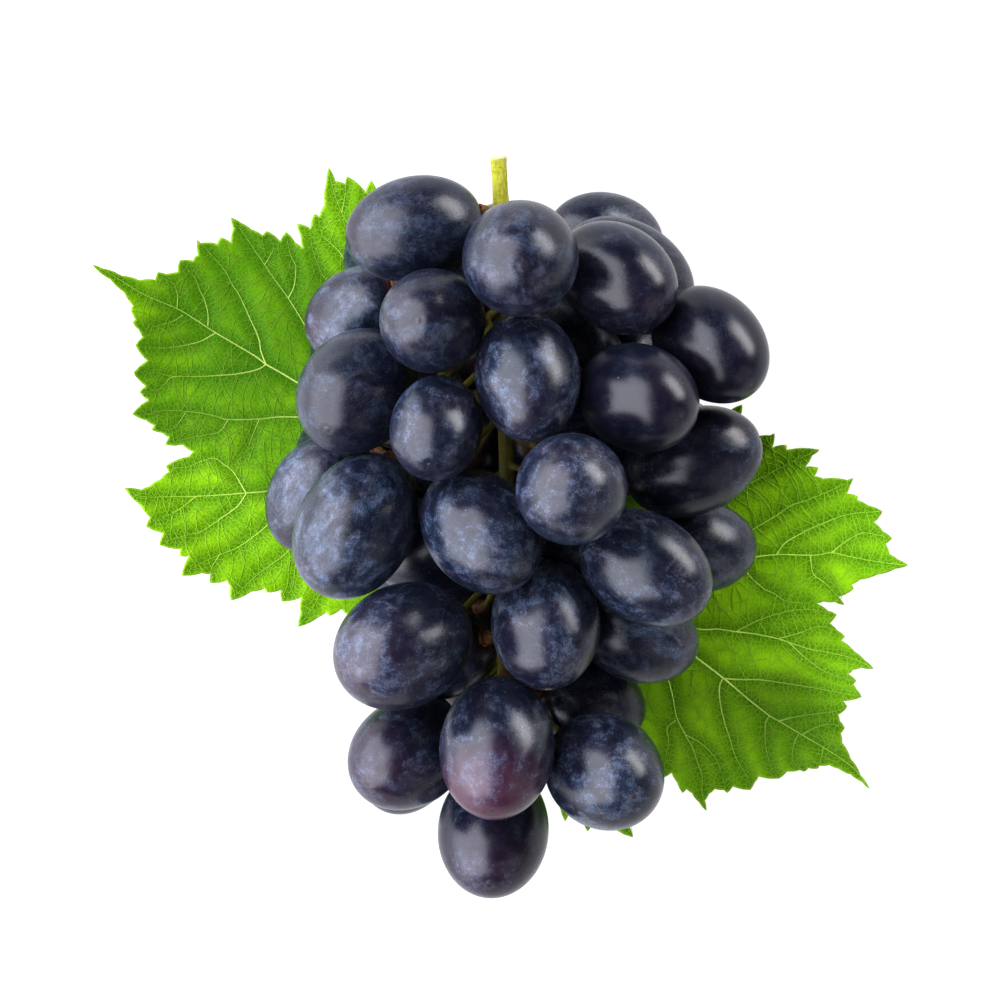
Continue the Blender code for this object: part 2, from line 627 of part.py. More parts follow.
def make_leaf(parts, name, outline, junction, heading, phase, material):
    """A vine leaf: a thin toothed blade, flat under the bunch, with its stalk."""
    curve = bpy.data.curves.new(name, "CURVE")
    curve.dimensions = "2D"
    curve.fill_mode = "BOTH"
    spline = curve.splines.new("POLY")
    spline.points.add(len(outline) - 1)
    for spot, (x, y) in zip(spline.points, outline):
        spot.co = (x * MM, y * MM, 0.0, 1.0)
    spline.use_cyclic_u = True
    holder = bpy.data.objects.new(name + "_outline", curve)
    bpy.context.scene.collection.objects.link(holder)
    evaluated = holder.evaluated_get(bpy.context.evaluated_depsgraph_get())
    mesh = bpy.data.meshes.new_from_object(evaluated)
    bpy.data.objects.remove(holder, do_unlink=True)
    bpy.data.curves.remove(curve)

    blade = bmesh.new()
    blade.from_mesh(mesh)
    bmesh.ops.remove_doubles(blade, verts=blade.verts, dist=WELD)
    bmesh.ops.dissolve_faces(blade, faces=blade.faces[:])
    for axis in (0, 1):
        low = min(v.co[axis] for v in blade.verts)
        high = max(v.co[axis] for v in blade.verts)
        cuts = round((high - low) / MM / BLADE_GRID)
        for k in range(1, cuts):
            place = Vector((0, 0, 0))
            place[axis] = low + (high - low) * k / cuts
            normal = Vector((0, 0, 0))
            normal[axis] = 1
            everything = blade.verts[:] + blade.edges[:] + blade.faces[:]
            cut = {"plane_co": place, "plane_no": normal, "dist": CUT_TOLERANCE}
            bmesh.ops.bisect_plane(blade, geom=everything, **cut)
    bmesh.ops.triangulate(blade, faces=blade.faces[:])
    bmesh.ops.recalc_face_normals(blade, faces=blade.faces)
    if sum(face.normal.z for face in blade.faces) < 0:
        bmesh.ops.reverse_faces(blade, faces=blade.faces[:])
    for vertex in blade.verts:
        x, y = vertex.co.x / MM, vertex.co.y / MM
        vertex.co.z = blade_height(x, y, junction, phase) * MM
    blade.to_mesh(mesh)
    blade.free()
    mesh.name = name
    leaf = bpy.data.objects.new(name, mesh)
    parts.objects.link(leaf)
    wall = leaf.modifiers.new("thickness", "SOLIDIFY")
    wall.thickness = BLADE_THICKNESS * MM
    wall.offset = 1.0
    evaluated = leaf.evaluated_get(bpy.context.evaluated_depsgraph_get())
    solid = bpy.data.meshes.new_from_object(evaluated)
    leaf.modifiers.clear()
    leaf.data = solid
    solid.name = name

    way = heading_vector(heading, 0)
    across = LEAF_STALK_RADIUS
    start = np.array([junction[0], junction[1], across]) - way * LEAF_STALK_INSET
    line = np.array([start + way * LEAF_STALK_LENGTH * share for share in (0, 0.5, 1)])
    pieces = new_collection(name + "_stalk")
    radii = [across * LEAF_STALK_TAPER, across, across]
    pieces.objects.link(tube(name + "_tube", line, radii, TWIG_SIDES_STEP))
    apply_join(leaf, pieces, "EXACT")
    bpy.data.collections.remove(pieces)
    leaf.data.materials.clear()
    leaf.data.materials.append(material)
    return leaf


def centre_on_origin(objects):
    """Move everything so that its box stands centred on the origin at z = 0."""
    bpy.context.view_layer.update()
    places = [obj.matrix_world @ v.co for obj in objects for v in obj.data.vertices]
    low = [min(p[k] for p in places) for k in range(3)]
    high = [max(p[k] for p in places) for k in range(3)]
    shift = Vector(((low[0] + high[0]) / 2, (low[1] + high[1]) / 2, low[2]))
    for obj in objects:
        obj.location -= shift


def build():
    """The whole bunch."""
    clear_scene()
    parts = new_collection(PARTS_COLLECTION)
    skin = finish("berry_skin", SKIN_COLOUR, 0.42)
    green = finish("stem_green", STEM_COLOUR, 0.6)
    blade = finish("leaf_blade", LEAF_COLOUR, 0.5)
    stalk = smooth_line(STALK, STALK_SPACING)
    bunch = Bunch()
    worst = settle(bunch, stalk[:, :3], stalk[:, 3])
    print("largest overlap left while settling, mm: %.3f" % worst)
    made = make_berries(parts, bunch, skin)
    made.append(make_stem(parts, bunch, stalk, green))
    left = (LEFT_OUTLINE, LEFT_JUNCTION, LEFT_STALK_HEADING, LEFT_PHASE)
    right = (RIGHT_OUTLINE, RIGHT_JUNCTION, RIGHT_STALK_HEADING, RIGHT_PHASE)
    made.append(make_leaf(parts, "leaf_left", *left, blade))
    made.append(make_leaf(parts, "leaf_right", *right, blade))
    centre_on_origin(made)


build()
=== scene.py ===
import math

import bmesh
import bpy
import numpy as np
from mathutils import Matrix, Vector, noise
from mathutils.geometry import delaunay_2d_cdt


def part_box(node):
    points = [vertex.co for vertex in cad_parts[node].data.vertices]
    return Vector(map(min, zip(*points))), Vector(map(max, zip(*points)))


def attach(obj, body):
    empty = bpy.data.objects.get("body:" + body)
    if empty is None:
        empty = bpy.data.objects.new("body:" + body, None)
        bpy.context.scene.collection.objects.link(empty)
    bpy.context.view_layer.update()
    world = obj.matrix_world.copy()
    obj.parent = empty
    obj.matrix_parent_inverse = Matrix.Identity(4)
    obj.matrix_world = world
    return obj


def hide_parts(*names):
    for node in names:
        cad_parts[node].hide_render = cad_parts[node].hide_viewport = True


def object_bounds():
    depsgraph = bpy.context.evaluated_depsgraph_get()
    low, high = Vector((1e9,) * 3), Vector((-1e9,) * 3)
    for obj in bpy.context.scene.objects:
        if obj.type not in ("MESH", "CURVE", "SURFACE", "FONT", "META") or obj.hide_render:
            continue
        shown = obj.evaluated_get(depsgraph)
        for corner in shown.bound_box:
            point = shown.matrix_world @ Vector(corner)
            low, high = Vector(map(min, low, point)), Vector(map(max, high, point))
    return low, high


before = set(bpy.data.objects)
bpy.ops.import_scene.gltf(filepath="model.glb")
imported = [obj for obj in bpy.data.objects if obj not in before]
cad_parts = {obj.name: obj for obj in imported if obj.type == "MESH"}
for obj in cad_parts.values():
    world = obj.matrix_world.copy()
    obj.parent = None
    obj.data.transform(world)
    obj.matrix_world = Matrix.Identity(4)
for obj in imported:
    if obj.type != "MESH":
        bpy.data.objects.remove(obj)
cad_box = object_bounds()

MM = 0.001
show = bpy.context.scene.collection.objects.link


# The berries. Each is an oval grape with a firm blue-black skin, dimpled where it
# sits on its stem and marked by a small scar at its blossom end. A berry keeps the
# place, the size and the lean of the solid that it stands for.
GRAPE_COUNT = 50
GRAPE_SEGMENTS = 120
GRAPE_RINGS = 84
GRAPE_GROWTH = 0.20
GRAPE_EGG = 0.035
GRAPE_LUMP_SIZE = 1.15
GRAPE_RELIEF = {
    "Lump Height": 0.34, "Dimple Depth": 0.55, "Dimple Radius": 2.3, "Scar Depth": 0.22,
    "Scar Radius": 1.1, "Nib Height": 0.20, "Nib Radius": 0.38,
}
BOX_MARGIN = 0.12
GRAPE_DRAW = 7
SEED_REACH = 60
# How ruddy, how bloomed and how rubbed a skin is, from 0 to 1: the usual, then some
USUAL_RUDDY, USUAL_BLOOM, USUAL_RUB = 0.06, 0.75, 0.15
RUDDY = {19: 0.6, 30: 0.9, 22: 0.35, 21: 0.15, 18: 0.15, 16: 0.15, 23: 0.5, 32: 0.7}
BLOOMED = {
    2: 0.60, 6: 0.60, 1: 0.60, 14: 1.0, 8: 0.6, 23: 1.0, 24: 1.0, 7: 0.95, 9: 0.8,
    4: 0.40, 5: 0.14, 3: 0.5, 10: 0.18, 11: 0.5, 12: 0.8, 13: 1.0, 15: 0.9, 16: 0.85,
    17: 0.95, 19: 0.6, 20: 0.95, 21: 0.6, 22: 0.75, 18: 0.6, 25: 0.9, 26: 0.95,
}
RUBBED = {
    4: 0.9, 5: 0.8, 10: 0.6, 7: 0.7, 9: 0.8, 12: 0.85, 11: 0.6, 15: 0.6, 16: 0.6,
    13: 0.5, 17: 0.5, 19: 0.7, 20: 0.6, 18: 0.5, 21: 0.7,
}


def put(tree, kind, inputs=(), **settings):
    """A new node in a tree, its inputs linked to sockets or set to values."""
    made = tree.nodes.new(kind)
    for key, value in settings.items():
        setattr(made, key, value)
    pairs = inputs.items() if isinstance(inputs, dict) else enumerate(inputs)
    for key, value in pairs:
        if isinstance(value, bpy.types.NodeSocket):
            tree.links.new(value, made.inputs[key])
        elif value is not None:
            made.inputs[key].default_value = value
    return made


def work(tree, operation, *values):
    """The result of one sum in a tree."""
    return put(tree, "ShaderNodeMath", values, operation=operation).outputs[0]


def times(tree, first, second):
    """The product of two values in a tree."""
    return work(tree, "MULTIPLY", first, second)


def scaled(tree, value, factor, start):
    """A value times a factor, counted from a start."""
    return work(tree, "MULTIPLY_ADD", value, factor, start)


def aim(tree, operation, *values):
    """The result of one vector sum in a tree."""
    return put(tree, "ShaderNodeVectorMath", values, operation=operation).outputs[0]


def stretched(tree, vector, factor):
    """A vector made longer, or a colour made brighter, by a factor."""
    made = put(tree, "ShaderNodeVectorMath", {0: vector, "Scale": factor}, operation="SCALE")
    return made.outputs[0]


def new_tree(name, inputs):
    """A Geometry Nodes tree with named inputs and a Geometry output."""
    tree = bpy.data.node_groups.new(name, "GeometryNodeTree")
    tree.is_modifier = True
    tree.interface.new_socket("Geometry", in_out="INPUT", socket_type="NodeSocketGeometry")
    for label, kind in inputs:
        tree.interface.new_socket(label, in_out="INPUT", socket_type="NodeSocket" + kind)
    tree.interface.new_socket("Geometry", in_out="OUTPUT", socket_type="NodeSocketGeometry")
    return tree, tree.nodes.new("NodeGroupInput")


def end_tree(tree, geometry, material):
    """Finish a tree: real geometry, smooth, in its material."""
    real = put(tree, "GeometryNodeRealizeInstances", {"Geometry": geometry})
    smooth = put(tree, "GeometryNodeSetShadeSmooth", {"Geometry": real.outputs[0]})
    dressed = put(tree, "GeometryNodeSetMaterial", {"Geometry": smooth.outputs[0], "Material": material})
    put(tree, "NodeGroupOutput", [dressed.outputs[0]])


def grow(name, tree, values, start=None):
    """A plain mesh object, grown by a tree with these values."""
    holder = bpy.data.objects.new(name, start or bpy.data.meshes.new(name))
    show(holder)
    modifier = holder.modifiers.new(name, "NODES")
    modifier.node_group = tree
    for item in tree.interface.items_tree:
        if item.in_out == "INPUT" and item.name in values:
            modifier[item.identifier] = values[item.name]
    seen = bpy.context.evaluated_depsgraph_get()
    mesh = bpy.data.meshes.new_from_object(holder.evaluated_get(seen), depsgraph=seen)
    holder.modifiers.clear()
    holder.data = mesh
    mesh.name = name
    return holder


def settle_piece(piece, slot, *nodes):
    """Fix a finished piece to the part, in place of its solids."""
    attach(piece, "root")
    if nodes:
        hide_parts(*nodes)


def corners(node):
    """The corner points of a solid, each once, in metres."""
    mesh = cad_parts[node].data
    points = np.zeros(len(mesh.vertices) * 3)
    mesh.vertices.foreach_get("co", points)
    return np.unique(points.reshape(-1, 3).round(7), axis=0)


stem_points = corners("stem")


def read_berry(node):
    """A berry's centre, way towards its blossom end, half length and half width."""
    points = corners(node)
    centre = points.mean(axis=0)
    away = np.linalg.norm(points - centre, axis=1)
    ends = points[np.argsort(away)[-2:]]
    to_stem = [np.linalg.norm(stem_points - end, axis=1).min() for end in ends]
    stem_end = ends[int(np.argmin(to_stem))]
    way = centre - stem_end
    length = np.linalg.norm(way)
    return centre, way / length, length, away.min()


def build_grape_tree():
    """A grape: an oval skin with low lumps, a stem dimple and a blossom scar."""
    sizes = ("Half Length", "Half Width", "Egg", "Lump Size", *GRAPE_RELIEF)
    tree, given = new_tree("grape", [
        *((label, "Float") for label in sizes), ("Material", "Material"),
        *((label, "Vector") for label in ("Seed", "Way", "Centre", "Kind")),
    ])
    value = given.outputs
    ball = put(tree, "GeometryNodeMeshUVSphere", [GRAPE_SEGMENTS, GRAPE_RINGS, 1.0])
    place = put(tree, "GeometryNodeInputPosition").outputs[0]
    x, y, z = put(tree, "ShaderNodeSeparateXYZ", [place]).outputs
    from_axis = work(tree, "SQRT", work(tree, "ADD", times(tree, x, x), times(tree, y, y)))
    reach = times(tree, from_axis, value["Half Width"])

    millimetres = work(tree, "DIVIDE", value["Half Width"], MM)
    spread = put(tree, "ShaderNodeCombineXYZ", [millimetres, millimetres, millimetres])
    on_skin = aim(tree, "MULTIPLY_ADD", place, spread.outputs[0], value["Seed"])
    kept = ball.outputs[0]
    for label, kind, what in (
        ("skin_place", "FLOAT_VECTOR", on_skin),
        ("skin_kind", "FLOAT_VECTOR", value["Kind"]),
        ("skin_along", "FLOAT", z),
    ):
        store = put(tree, "GeometryNodeStoreNamedAttribute", {"Geometry": kept, "Name": label},
                    data_type=kind)
        tree.links.new(what, store.inputs["Value"])
        kept = store.outputs[0]

    def bell(radius):
        share = work(tree, "DIVIDE", reach, radius)
        return work(tree, "EXPONENT", times(tree, times(tree, share, share), -1.0))

    width = scaled(tree, times(tree, z, value["Egg"]), value["Half Width"], value["Half Width"])
    at_stem = times(tree, work(tree, "LESS_THAN", z, 0.0), bell(value["Dimple Radius"]))
    at_tip = work(tree, "GREATER_THAN", z, 0.0)
    dimple = times(tree, at_stem, value["Dimple Depth"])
    scar = times(tree, bell(value["Scar Radius"]), value["Scar Depth"])
    nib = times(tree, bell(value["Nib Radius"]), value["Nib Height"])
    tip = times(tree, at_tip, work(tree, "SUBTRACT", nib, scar))
    height = scaled(tree, z, value["Half Length"], work(tree, "ADD", dimple, tip))
    oval = put(tree, "ShaderNodeCombineXYZ", [times(tree, x, width), times(tree, y, width), height])
    shaped = put(tree, "GeometryNodeSetPosition", {"Geometry": kept, "Position": oval.outputs[0]})

    grain = aim(tree, "MULTIPLY_ADD", place, (1.0, 1.0, 1.0), value["Seed"])
    lumps = put(tree, "ShaderNodeTexNoise", {"Vector": grain, "Scale": value["Lump Size"],
                                            "Detail": 1.0})
    out = times(tree, work(tree, "SUBTRACT", lumps.outputs[0], 0.5), value["Lump Height"])
    normal = put(tree, "GeometryNodeInputNormal").outputs[0]
    lumpy = put(tree, "GeometryNodeSetPosition", {"Geometry": shaped.outputs[0],
                                                  "Offset": stretched(tree, normal, out)})

    turn = put(tree, "FunctionNodeAlignRotationToVector", {"Vector": value["Way"]}, axis="Z")
    placed = put(tree, "GeometryNodeTransform", {"Geometry": lumpy.outputs[0],
                                                 "Translation": value["Centre"],
                                                 "Rotation": turn.outputs[0]})
    end_tree(tree, placed.outputs[0], value["Material"])
    return tree


# Grape skin under its bloom: a glossy blue-black skin dusted with pale wax, which is
# thick in clouds, thin in between and rubbed off in scattered spots, as where berries touch.
BARE_BLUE = (0.0030, 0.0048, 0.0150, 1.0)
BARE_VIOLET = (0.0058, 0.0042, 0.0130, 1.0)
BLUSH = (0.085, 0.018, 0.038, 1.0)
WAX_BLUE = (0.106, 0.156, 0.246, 1.0)
WAX_GREY = (0.134, 0.152, 0.218, 1.0)
SCAR_BROWN = (0.030, 0.022, 0.024, 1.0)
STEM_END_RED = (0.085, 0.024, 0.018, 1.0)
SPECK = (0.24, 0.22, 0.24, 1.0)
# Mottlings: size in millimetres, detail, roughness, warp, low cut and high cut
SKIN_HUES = (9.0, 2.0, 0.5, 0.0, 0.35, 0.65)
PATCHES = (8.0, 3.0, 0.60, 1.0, 0.42, 0.61)
CLOUDS = (2.0, 8.0, 0.76, 0.2, 0.42, 0.65)
DUST = (0.26, 3.0, 0.75, 0.0, 0.43, 0.61)
WAX_SHADES = (4.0, 3.0, 0.6, 0.4, 0.40, 0.62)
# How much of the wax each mottling may take away, and the rubbed spots
PATCH_SHARE, CLOUD_SHARE, DUST_SHARE, RUBBED_SHARE = 0.78, 0.78, 0.64, 0.8
SPOT_SCALE, SPOT_BEND_SCALE, SPOT_BEND = 0.13, 0.5, 2.6
SPOT_EDGE = (0.18, 0.34)
SPECK_SCALE, SPECK_SHARE = 0.42, 0.7
SPECK_EDGE = (0.035, 0.075)
# Where each colour comes in along a grape, from -1 at its stem to 1 at its tip
BLUSH_ALONG = (0.1, 1.0)
TIP_ALONG = (0.9978, 0.9994)
FOOT_ALONG, FOOT_SHARE = (-0.90, -0.985), 0.8
SKIN_ROUGH, ROUGH_BY_RUBBING, ROUGH_BY_WAX = 0.27, -0.04, 0.12
SKIN_RELIEF, DUST_RELIEF = 0.03, 0.35


def new_material(name, roughness, specular):
    """A material with one Principled shader, and its tree and shader."""
    material = bpy.data.materials.new(name)
    material.use_nodes = True
    tree = material.node_tree
    shader = tree.nodes["Principled BSDF"]
    shader.inputs["Roughness"].default_value = roughness
    shader.inputs["Specular IOR Level"].default_value = specular
    return material, tree, shader


def tint(tree, share, first, second):
    """One colour turning into another by a share."""
    mix = put(tree, "ShaderNodeMix", {0: share, 6: first, 7: second}, data_type="RGBA")
    return mix.outputs[2]


def ramp(tree, value, start, end, low=0.0, high=1.0):
    """A value eased from low to high as it goes from start to end."""
    return put(tree, "ShaderNodeMapRange", [value, start, end, low, high],
               interpolation_type="SMOOTHSTEP").outputs[0]


def build_mottle():
    """Cloudy mottling: noise at one size, cut to a share by two levels."""
    group = bpy.data.node_groups.new("mottle", "ShaderNodeTree")
    for label, kind in (("Place", "Vector"), ("Size", "Float"), ("Detail", "Float"),
                        ("Roughness", "Float"), ("Warp", "Float"), ("Low", "Float"),
                        ("High", "Float")):
        group.interface.new_socket(label, in_out="INPUT", socket_type="NodeSocket" + kind)
    group.interface.new_socket("Mask", in_out="OUTPUT", socket_type="NodeSocketFloat")
    given = group.nodes.new("NodeGroupInput").outputs
    scale = work(group, "DIVIDE", 1.0, given["Size"])
    cloud = put(group, "ShaderNodeTexNoise", {
        "Vector": given["Place"], "Scale": scale, "Detail": given["Detail"],
        "Roughness": given["Roughness"], "Distortion": given["Warp"]})
    cut = put(group, "ShaderNodeMapRange", [cloud.outputs[0], given["Low"], given["High"], 0.0, 1.0],
              interpolation_type="SMOOTHSTEP")
    put(group, "NodeGroupOutput", [cut.outputs[0]])
    return group


mottle_group = build_mottle()


def mottle(tree, place, size, detail, roughness, warp, low, high):
    """A mottling mask at one size in a material."""
    made = put(tree, "ShaderNodeGroup", node_tree=mottle_group)
    for key, value in (("Place", place), ("Size", size), ("Detail", detail),
                       ("Roughness", roughness), ("Warp", warp), ("Low", low), ("High", high)):
        if isinstance(value, bpy.types.NodeSocket):
            tree.links.new(value, made.inputs[key])
        else:
            made.inputs[key].default_value = value
    return made.outputs[0]


def partly(tree, mask, share):
    """A mask that takes away a share at most."""
    return scaled(tree, mask, share, 1 - share)


def marked(tree, name, output="Fac"):
    """A value kept on the mesh under a name."""
    return put(tree, "ShaderNodeAttribute", attribute_name=name).outputs[output]


def roughen(tree, shader, height, strength, relief):
    """Bumps on a material, from a height and a relief in millimetres."""
    bump = put(tree, "ShaderNodeBump", {"Strength": strength, "Distance": relief * MM, "Height": height})
    tree.links.new(bump.outputs[0], shader.inputs["Normal"])


def build_skin():
    """The skin of the grapes."""
    material, tree, shader = new_material("grape_skin", 0.3, 0.5)
    place = marked(tree, "skin_place", "Vector")
    along = marked(tree, "skin_along")
    ruddy, bloomed, rubbed = put(tree, "ShaderNodeSeparateXYZ",
                                 [marked(tree, "skin_kind", "Vector")]).outputs

    bare = tint(tree, mottle(tree, place, *SKIN_HUES), BARE_BLUE, BARE_VIOLET)
    bare = tint(tree, times(tree, ruddy, ramp(tree, along, *BLUSH_ALONG)), bare, BLUSH)

    clouds = mottle(tree, place, *CLOUDS)
    dust = mottle(tree, place, *DUST)
    thick = partly(tree, mottle(tree, place, *PATCHES), PATCH_SHARE)
    thick = times(tree, thick, partly(tree, clouds, CLOUD_SHARE))
    thick = times(tree, thick, partly(tree, dust, DUST_SHARE))
    warp = put(tree, "ShaderNodeTexNoise", {"Vector": place, "Scale": SPOT_BEND_SCALE, "Detail": 3.0})
    bent = aim(tree, "MULTIPLY_ADD", warp.outputs["Color"], (SPOT_BEND,) * 3, place)
    spots = put(tree, "ShaderNodeTexVoronoi", {"Vector": bent, "Scale": SPOT_SCALE})
    worn = ramp(tree, spots.outputs["Distance"], *SPOT_EDGE, 1.0, 0.0)
    worn = times(tree, worn, times(tree, rubbed, RUBBED_SHARE))
    wax = times(tree, times(tree, thick, bloomed), work(tree, "SUBTRACT", 1.0, worn))

    dusty = tint(tree, mottle(tree, place, *WAX_SHADES), WAX_BLUE, WAX_GREY)
    colour = tint(tree, wax, bare, dusty)
    dots = put(tree, "ShaderNodeTexVoronoi", {"Vector": place, "Scale": SPECK_SCALE})
    dot = ramp(tree, dots.outputs["Distance"], *SPECK_EDGE, SPECK_SHARE, 0.0)
    colour = tint(tree, times(tree, dot, clouds), colour, SPECK)
    colour = tint(tree, ramp(tree, along, *TIP_ALONG), colour, SCAR_BROWN)
    foot = times(tree, ramp(tree, along, *FOOT_ALONG), FOOT_SHARE)
    colour = tint(tree, foot, colour, STEM_END_RED)
    tree.links.new(colour, shader.inputs["Base Color"])

    rough = scaled(tree, rubbed, ROUGH_BY_RUBBING, SKIN_ROUGH)
    tree.links.new(scaled(tree, wax, ROUGH_BY_WAX, rough), shader.inputs["Roughness"])
    roughen(tree, shader, scaled(tree, dust, DUST_RELIEF, clouds), 0.30, SKIN_RELIEF)
    shader.inputs["Sheen Weight"].default_value = 0.03
    shader.inputs["Sheen Roughness"].default_value = 0.45
    shader.inputs["Sheen Tint"].default_value = (0.45, 0.60, 1.0, 1.0)
    return material


grape_skin = build_skin()
grape_tree = build_grape_tree()
draw = np.random.default_rng(GRAPE_DRAW)
box_low, box_high = np.array(cad_box[0]), np.array(cad_box[1])
stem_ends = []
for number in range(1, GRAPE_COUNT + 1):
    solid = "berry_%02d" % number
    centre, way, half_length, half_width = read_berry(solid)
    stem_ends.append((centre - way * half_length, way, half_width))
    grown = GRAPE_GROWTH * MM
    lean = np.sqrt(half_width ** 2 + (half_length ** 2 - half_width ** 2) * way ** 2)
    room = np.minimum(centre - lean - box_low, box_high - centre - lean).min()
    grown = min(grown, room - BOX_MARGIN * MM)
    seed = draw.uniform(-SEED_REACH, SEED_REACH, 3)
    egg = draw.uniform(-GRAPE_EGG, GRAPE_EGG)
    kind = (RUDDY.get(number, draw.uniform(0, USUAL_RUDDY)), BLOOMED.get(number, USUAL_BLOOM),
            RUBBED.get(number, USUAL_RUB))
    grape = grow("grape_%02d" % number, grape_tree, {
        "Half Length": half_length + grown, "Half Width": half_width + grown, "Egg": egg,
        "Lump Size": GRAPE_LUMP_SIZE, "Seed": seed, "Way": way, "Centre": centre, "Kind": kind,
        "Material": grape_skin, **{label: size * MM for label, size in GRAPE_RELIEF.items()},
    })
    settle_piece(grape, "berry_skin", solid)


# The stem: a green woody stalk, cut off at its upper end, with a thin twig to each
# berry. Each twig swells into a brown warty cap where the berry is grown on. It is
# the solid's own shape, grown round and smooth.
STEM_VOXEL = 0.34
STEM_SMOOTHING, STEM_EASE = 4, 0.6
STEM_SWELL = 0.14
STEM_RIDGES, RIDGE_ACROSS, RIDGE_ALONG = 0.056, 900, 110
STEM_WARTS, WART_SCALE, WARTS_OFF_CAPS = 0.16, 1500, 0.3
STEM_FLAT = (0.30, 0.31, 0.025, 1.0)
STEM_GREEN = (0.43, 0.40, 0.045, 1.0)
STEM_OLIVE = (0.085, 0.070, 0.020, 1.0)
STEM_STREAK = (0.52, 0.50, 0.10, 1.0)
CAP_BROWN = (0.19, 0.085, 0.030, 1.0)
CAP_DARK = (0.065, 0.025, 0.012, 1.0)
CUT_PALE = (0.60, 0.62, 0.38, 1.0)
CUT_EDGE, CUT_LENGTH = 0.1, 1.5
CUT_FLAT = 0.4
INNER_FROM, INNER_TO = 14, 26
CAP_REACH, CAP_CORE = 4.2, 1.47
COLLAR_RADIUS = 1.368
COLLAR_TUBE = 0.62
COLLAR_ROUGH, COLLAR_ROUGH_SCALE = 0.55, 900.0
COLLAR_SINK = 0.15
# Mottlings of the wood, as those of the skin, and how much of a colour each gives
WOOD_TONES = (6.0, 3.0, 0.6, 0.3, 0.35, 0.65)
WOOD_STREAKS = (0.6, 4.0, 0.7, 0.1, 0.42, 0.66)
WOOD_WARTS = (0.9, 5.0, 0.7, 0.2, 0.42, 0.62)
WOOD_OLIVE = (11.0, 3.0, 0.6, 0.2, 0.46, 0.62)
STREAK_STRETCH = 0.12
STREAK_SHARE, STREAK_RELIEF = 0.55, 0.6
OLIVE_SHARE, OLIVE_LEAST = 0.25, 0.70
WOOD_RELIEF = 0.12


def read_solid(name, node):
    """A merged copy of a solid's mesh, as a new object."""
    copy = bpy.data.objects.new(name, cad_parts[node].data.copy())
    show(copy)
    merged = bmesh.new()
    merged.from_mesh(copy.data)
    bmesh.ops.remove_doubles(merged, verts=merged.verts, dist=0.01 * MM)
    merged.to_mesh(copy.data)
    merged.free()
    return copy


def take_shape(piece):
    """Turn a piece's modifiers into its own mesh."""
    seen = bpy.context.evaluated_depsgraph_get()
    mesh = bpy.data.meshes.new_from_object(piece.evaluated_get(seen), depsgraph=seen)
    piece.modifiers.clear()
    piece.data = mesh
    mesh.name = piece.name


def object_place(tree):
    """Places on an object in a material, in millimetres."""
    spot = put(tree, "ShaderNodeTexCoord").outputs["Object"]
    return stretched(tree, spot, 1 / MM)


def build_stem_material():
    """Green woody stem: streaks along it, brown warty caps, pale fresh cut."""
    material, tree, shader = new_material("stem_wood", 0.55, 0.25)
    spot = object_place(tree)
    along = put(tree, "ShaderNodeMapping", {"Vector": spot, "Scale": (1.0, STREAK_STRETCH, 1.0)})
    streak = mottle(tree, along.outputs[0], *WOOD_STREAKS)
    warts = mottle(tree, spot, *WOOD_WARTS)
    colour = tint(tree, mottle(tree, spot, *WOOD_TONES), STEM_GREEN, STEM_FLAT)
    colour = tint(tree, times(tree, streak, STREAK_SHARE), colour, STEM_STREAK)
    # From 14 to 26 mm below its cut the stem turns a darker olive, by a mottled share
    olive_amount = scaled(tree, mottle(tree, spot, *WOOD_OLIVE), OLIVE_SHARE, OLIVE_LEAST)
    colour = tint(tree, times(tree, olive_amount, marked(tree, "stem_inner")), colour, STEM_OLIVE)
    colour = tint(tree, marked(tree, "stem_brown"), colour, tint(tree, warts, CAP_DARK, CAP_BROWN))
    colour = tint(tree, marked(tree, "stem_cut"), colour, CUT_PALE)
    tree.links.new(colour, shader.inputs["Base Color"])
    roughen(tree, shader, scaled(tree, streak, STREAK_RELIEF, warts), 0.6, WOOD_RELIEF)
    return material


def build_collar_tree():
    """A warty collar on each cap, where the berry is grown on."""
    tree, given = new_tree("collars", [
        ("Radius", "Float"), ("Thickness", "Float"), ("Roughness", "Float"), ("Material", "Material")])
    value = given.outputs
    ring = put(tree, "GeometryNodeCurvePrimitiveCircle", {"Resolution": 22, "Radius": value["Radius"]})
    section = put(tree, "GeometryNodeCurvePrimitiveCircle", {"Resolution": 9, "Radius": value["Thickness"]})
    hoop = put(tree, "GeometryNodeCurveToMesh", [ring.outputs[0], section.outputs[0]])
    plug = put(tree, "GeometryNodeMeshUVSphere", {"Segments": 22, "Rings": 10, "Radius": value["Radius"]})
    flat = put(tree, "GeometryNodeTransform", {"Geometry": plug.outputs[0], "Scale": (1.0, 1.0, 0.55)})
    whole = put(tree, "GeometryNodeJoinGeometry")
    tree.links.new(hoop.outputs[0], whole.inputs[0])
    tree.links.new(flat.outputs[0], whole.inputs[0])
    way = put(tree, "GeometryNodeInputNamedAttribute", {"Name": "way"}, data_type="FLOAT_VECTOR")
    turn = put(tree, "FunctionNodeAlignRotationToVector", {"Vector": way.outputs[0]}, axis="Z")
    spread = put(tree, "GeometryNodeInstanceOnPoints", {
        "Points": given.outputs["Geometry"], "Instance": whole.outputs[0], "Rotation": turn.outputs[0]})
    real = put(tree, "GeometryNodeRealizeInstances", {"Geometry": spread.outputs[0]})
    bumps = put(tree, "ShaderNodeTexNoise", {"Scale": COLLAR_ROUGH_SCALE, "Detail": 2.0})
    out = times(tree, work(tree, "SUBTRACT", bumps.outputs[0], 0.5), value["Roughness"])
    normal = put(tree, "GeometryNodeInputNormal").outputs[0]
    warty = put(tree, "GeometryNodeSetPosition", {"Geometry": real.outputs[0],
                                                  "Offset": stretched(tree, normal, out)})
    end_tree(tree, warty.outputs[0], value["Material"])
    return tree


def mark(mesh, name, values):
    """Keep a value for each point of a mesh under a name."""
    layer = mesh.attributes.new(name, "FLOAT", "POINT")
    layer.data.foreach_set("value", np.asarray(values, dtype=np.float32))


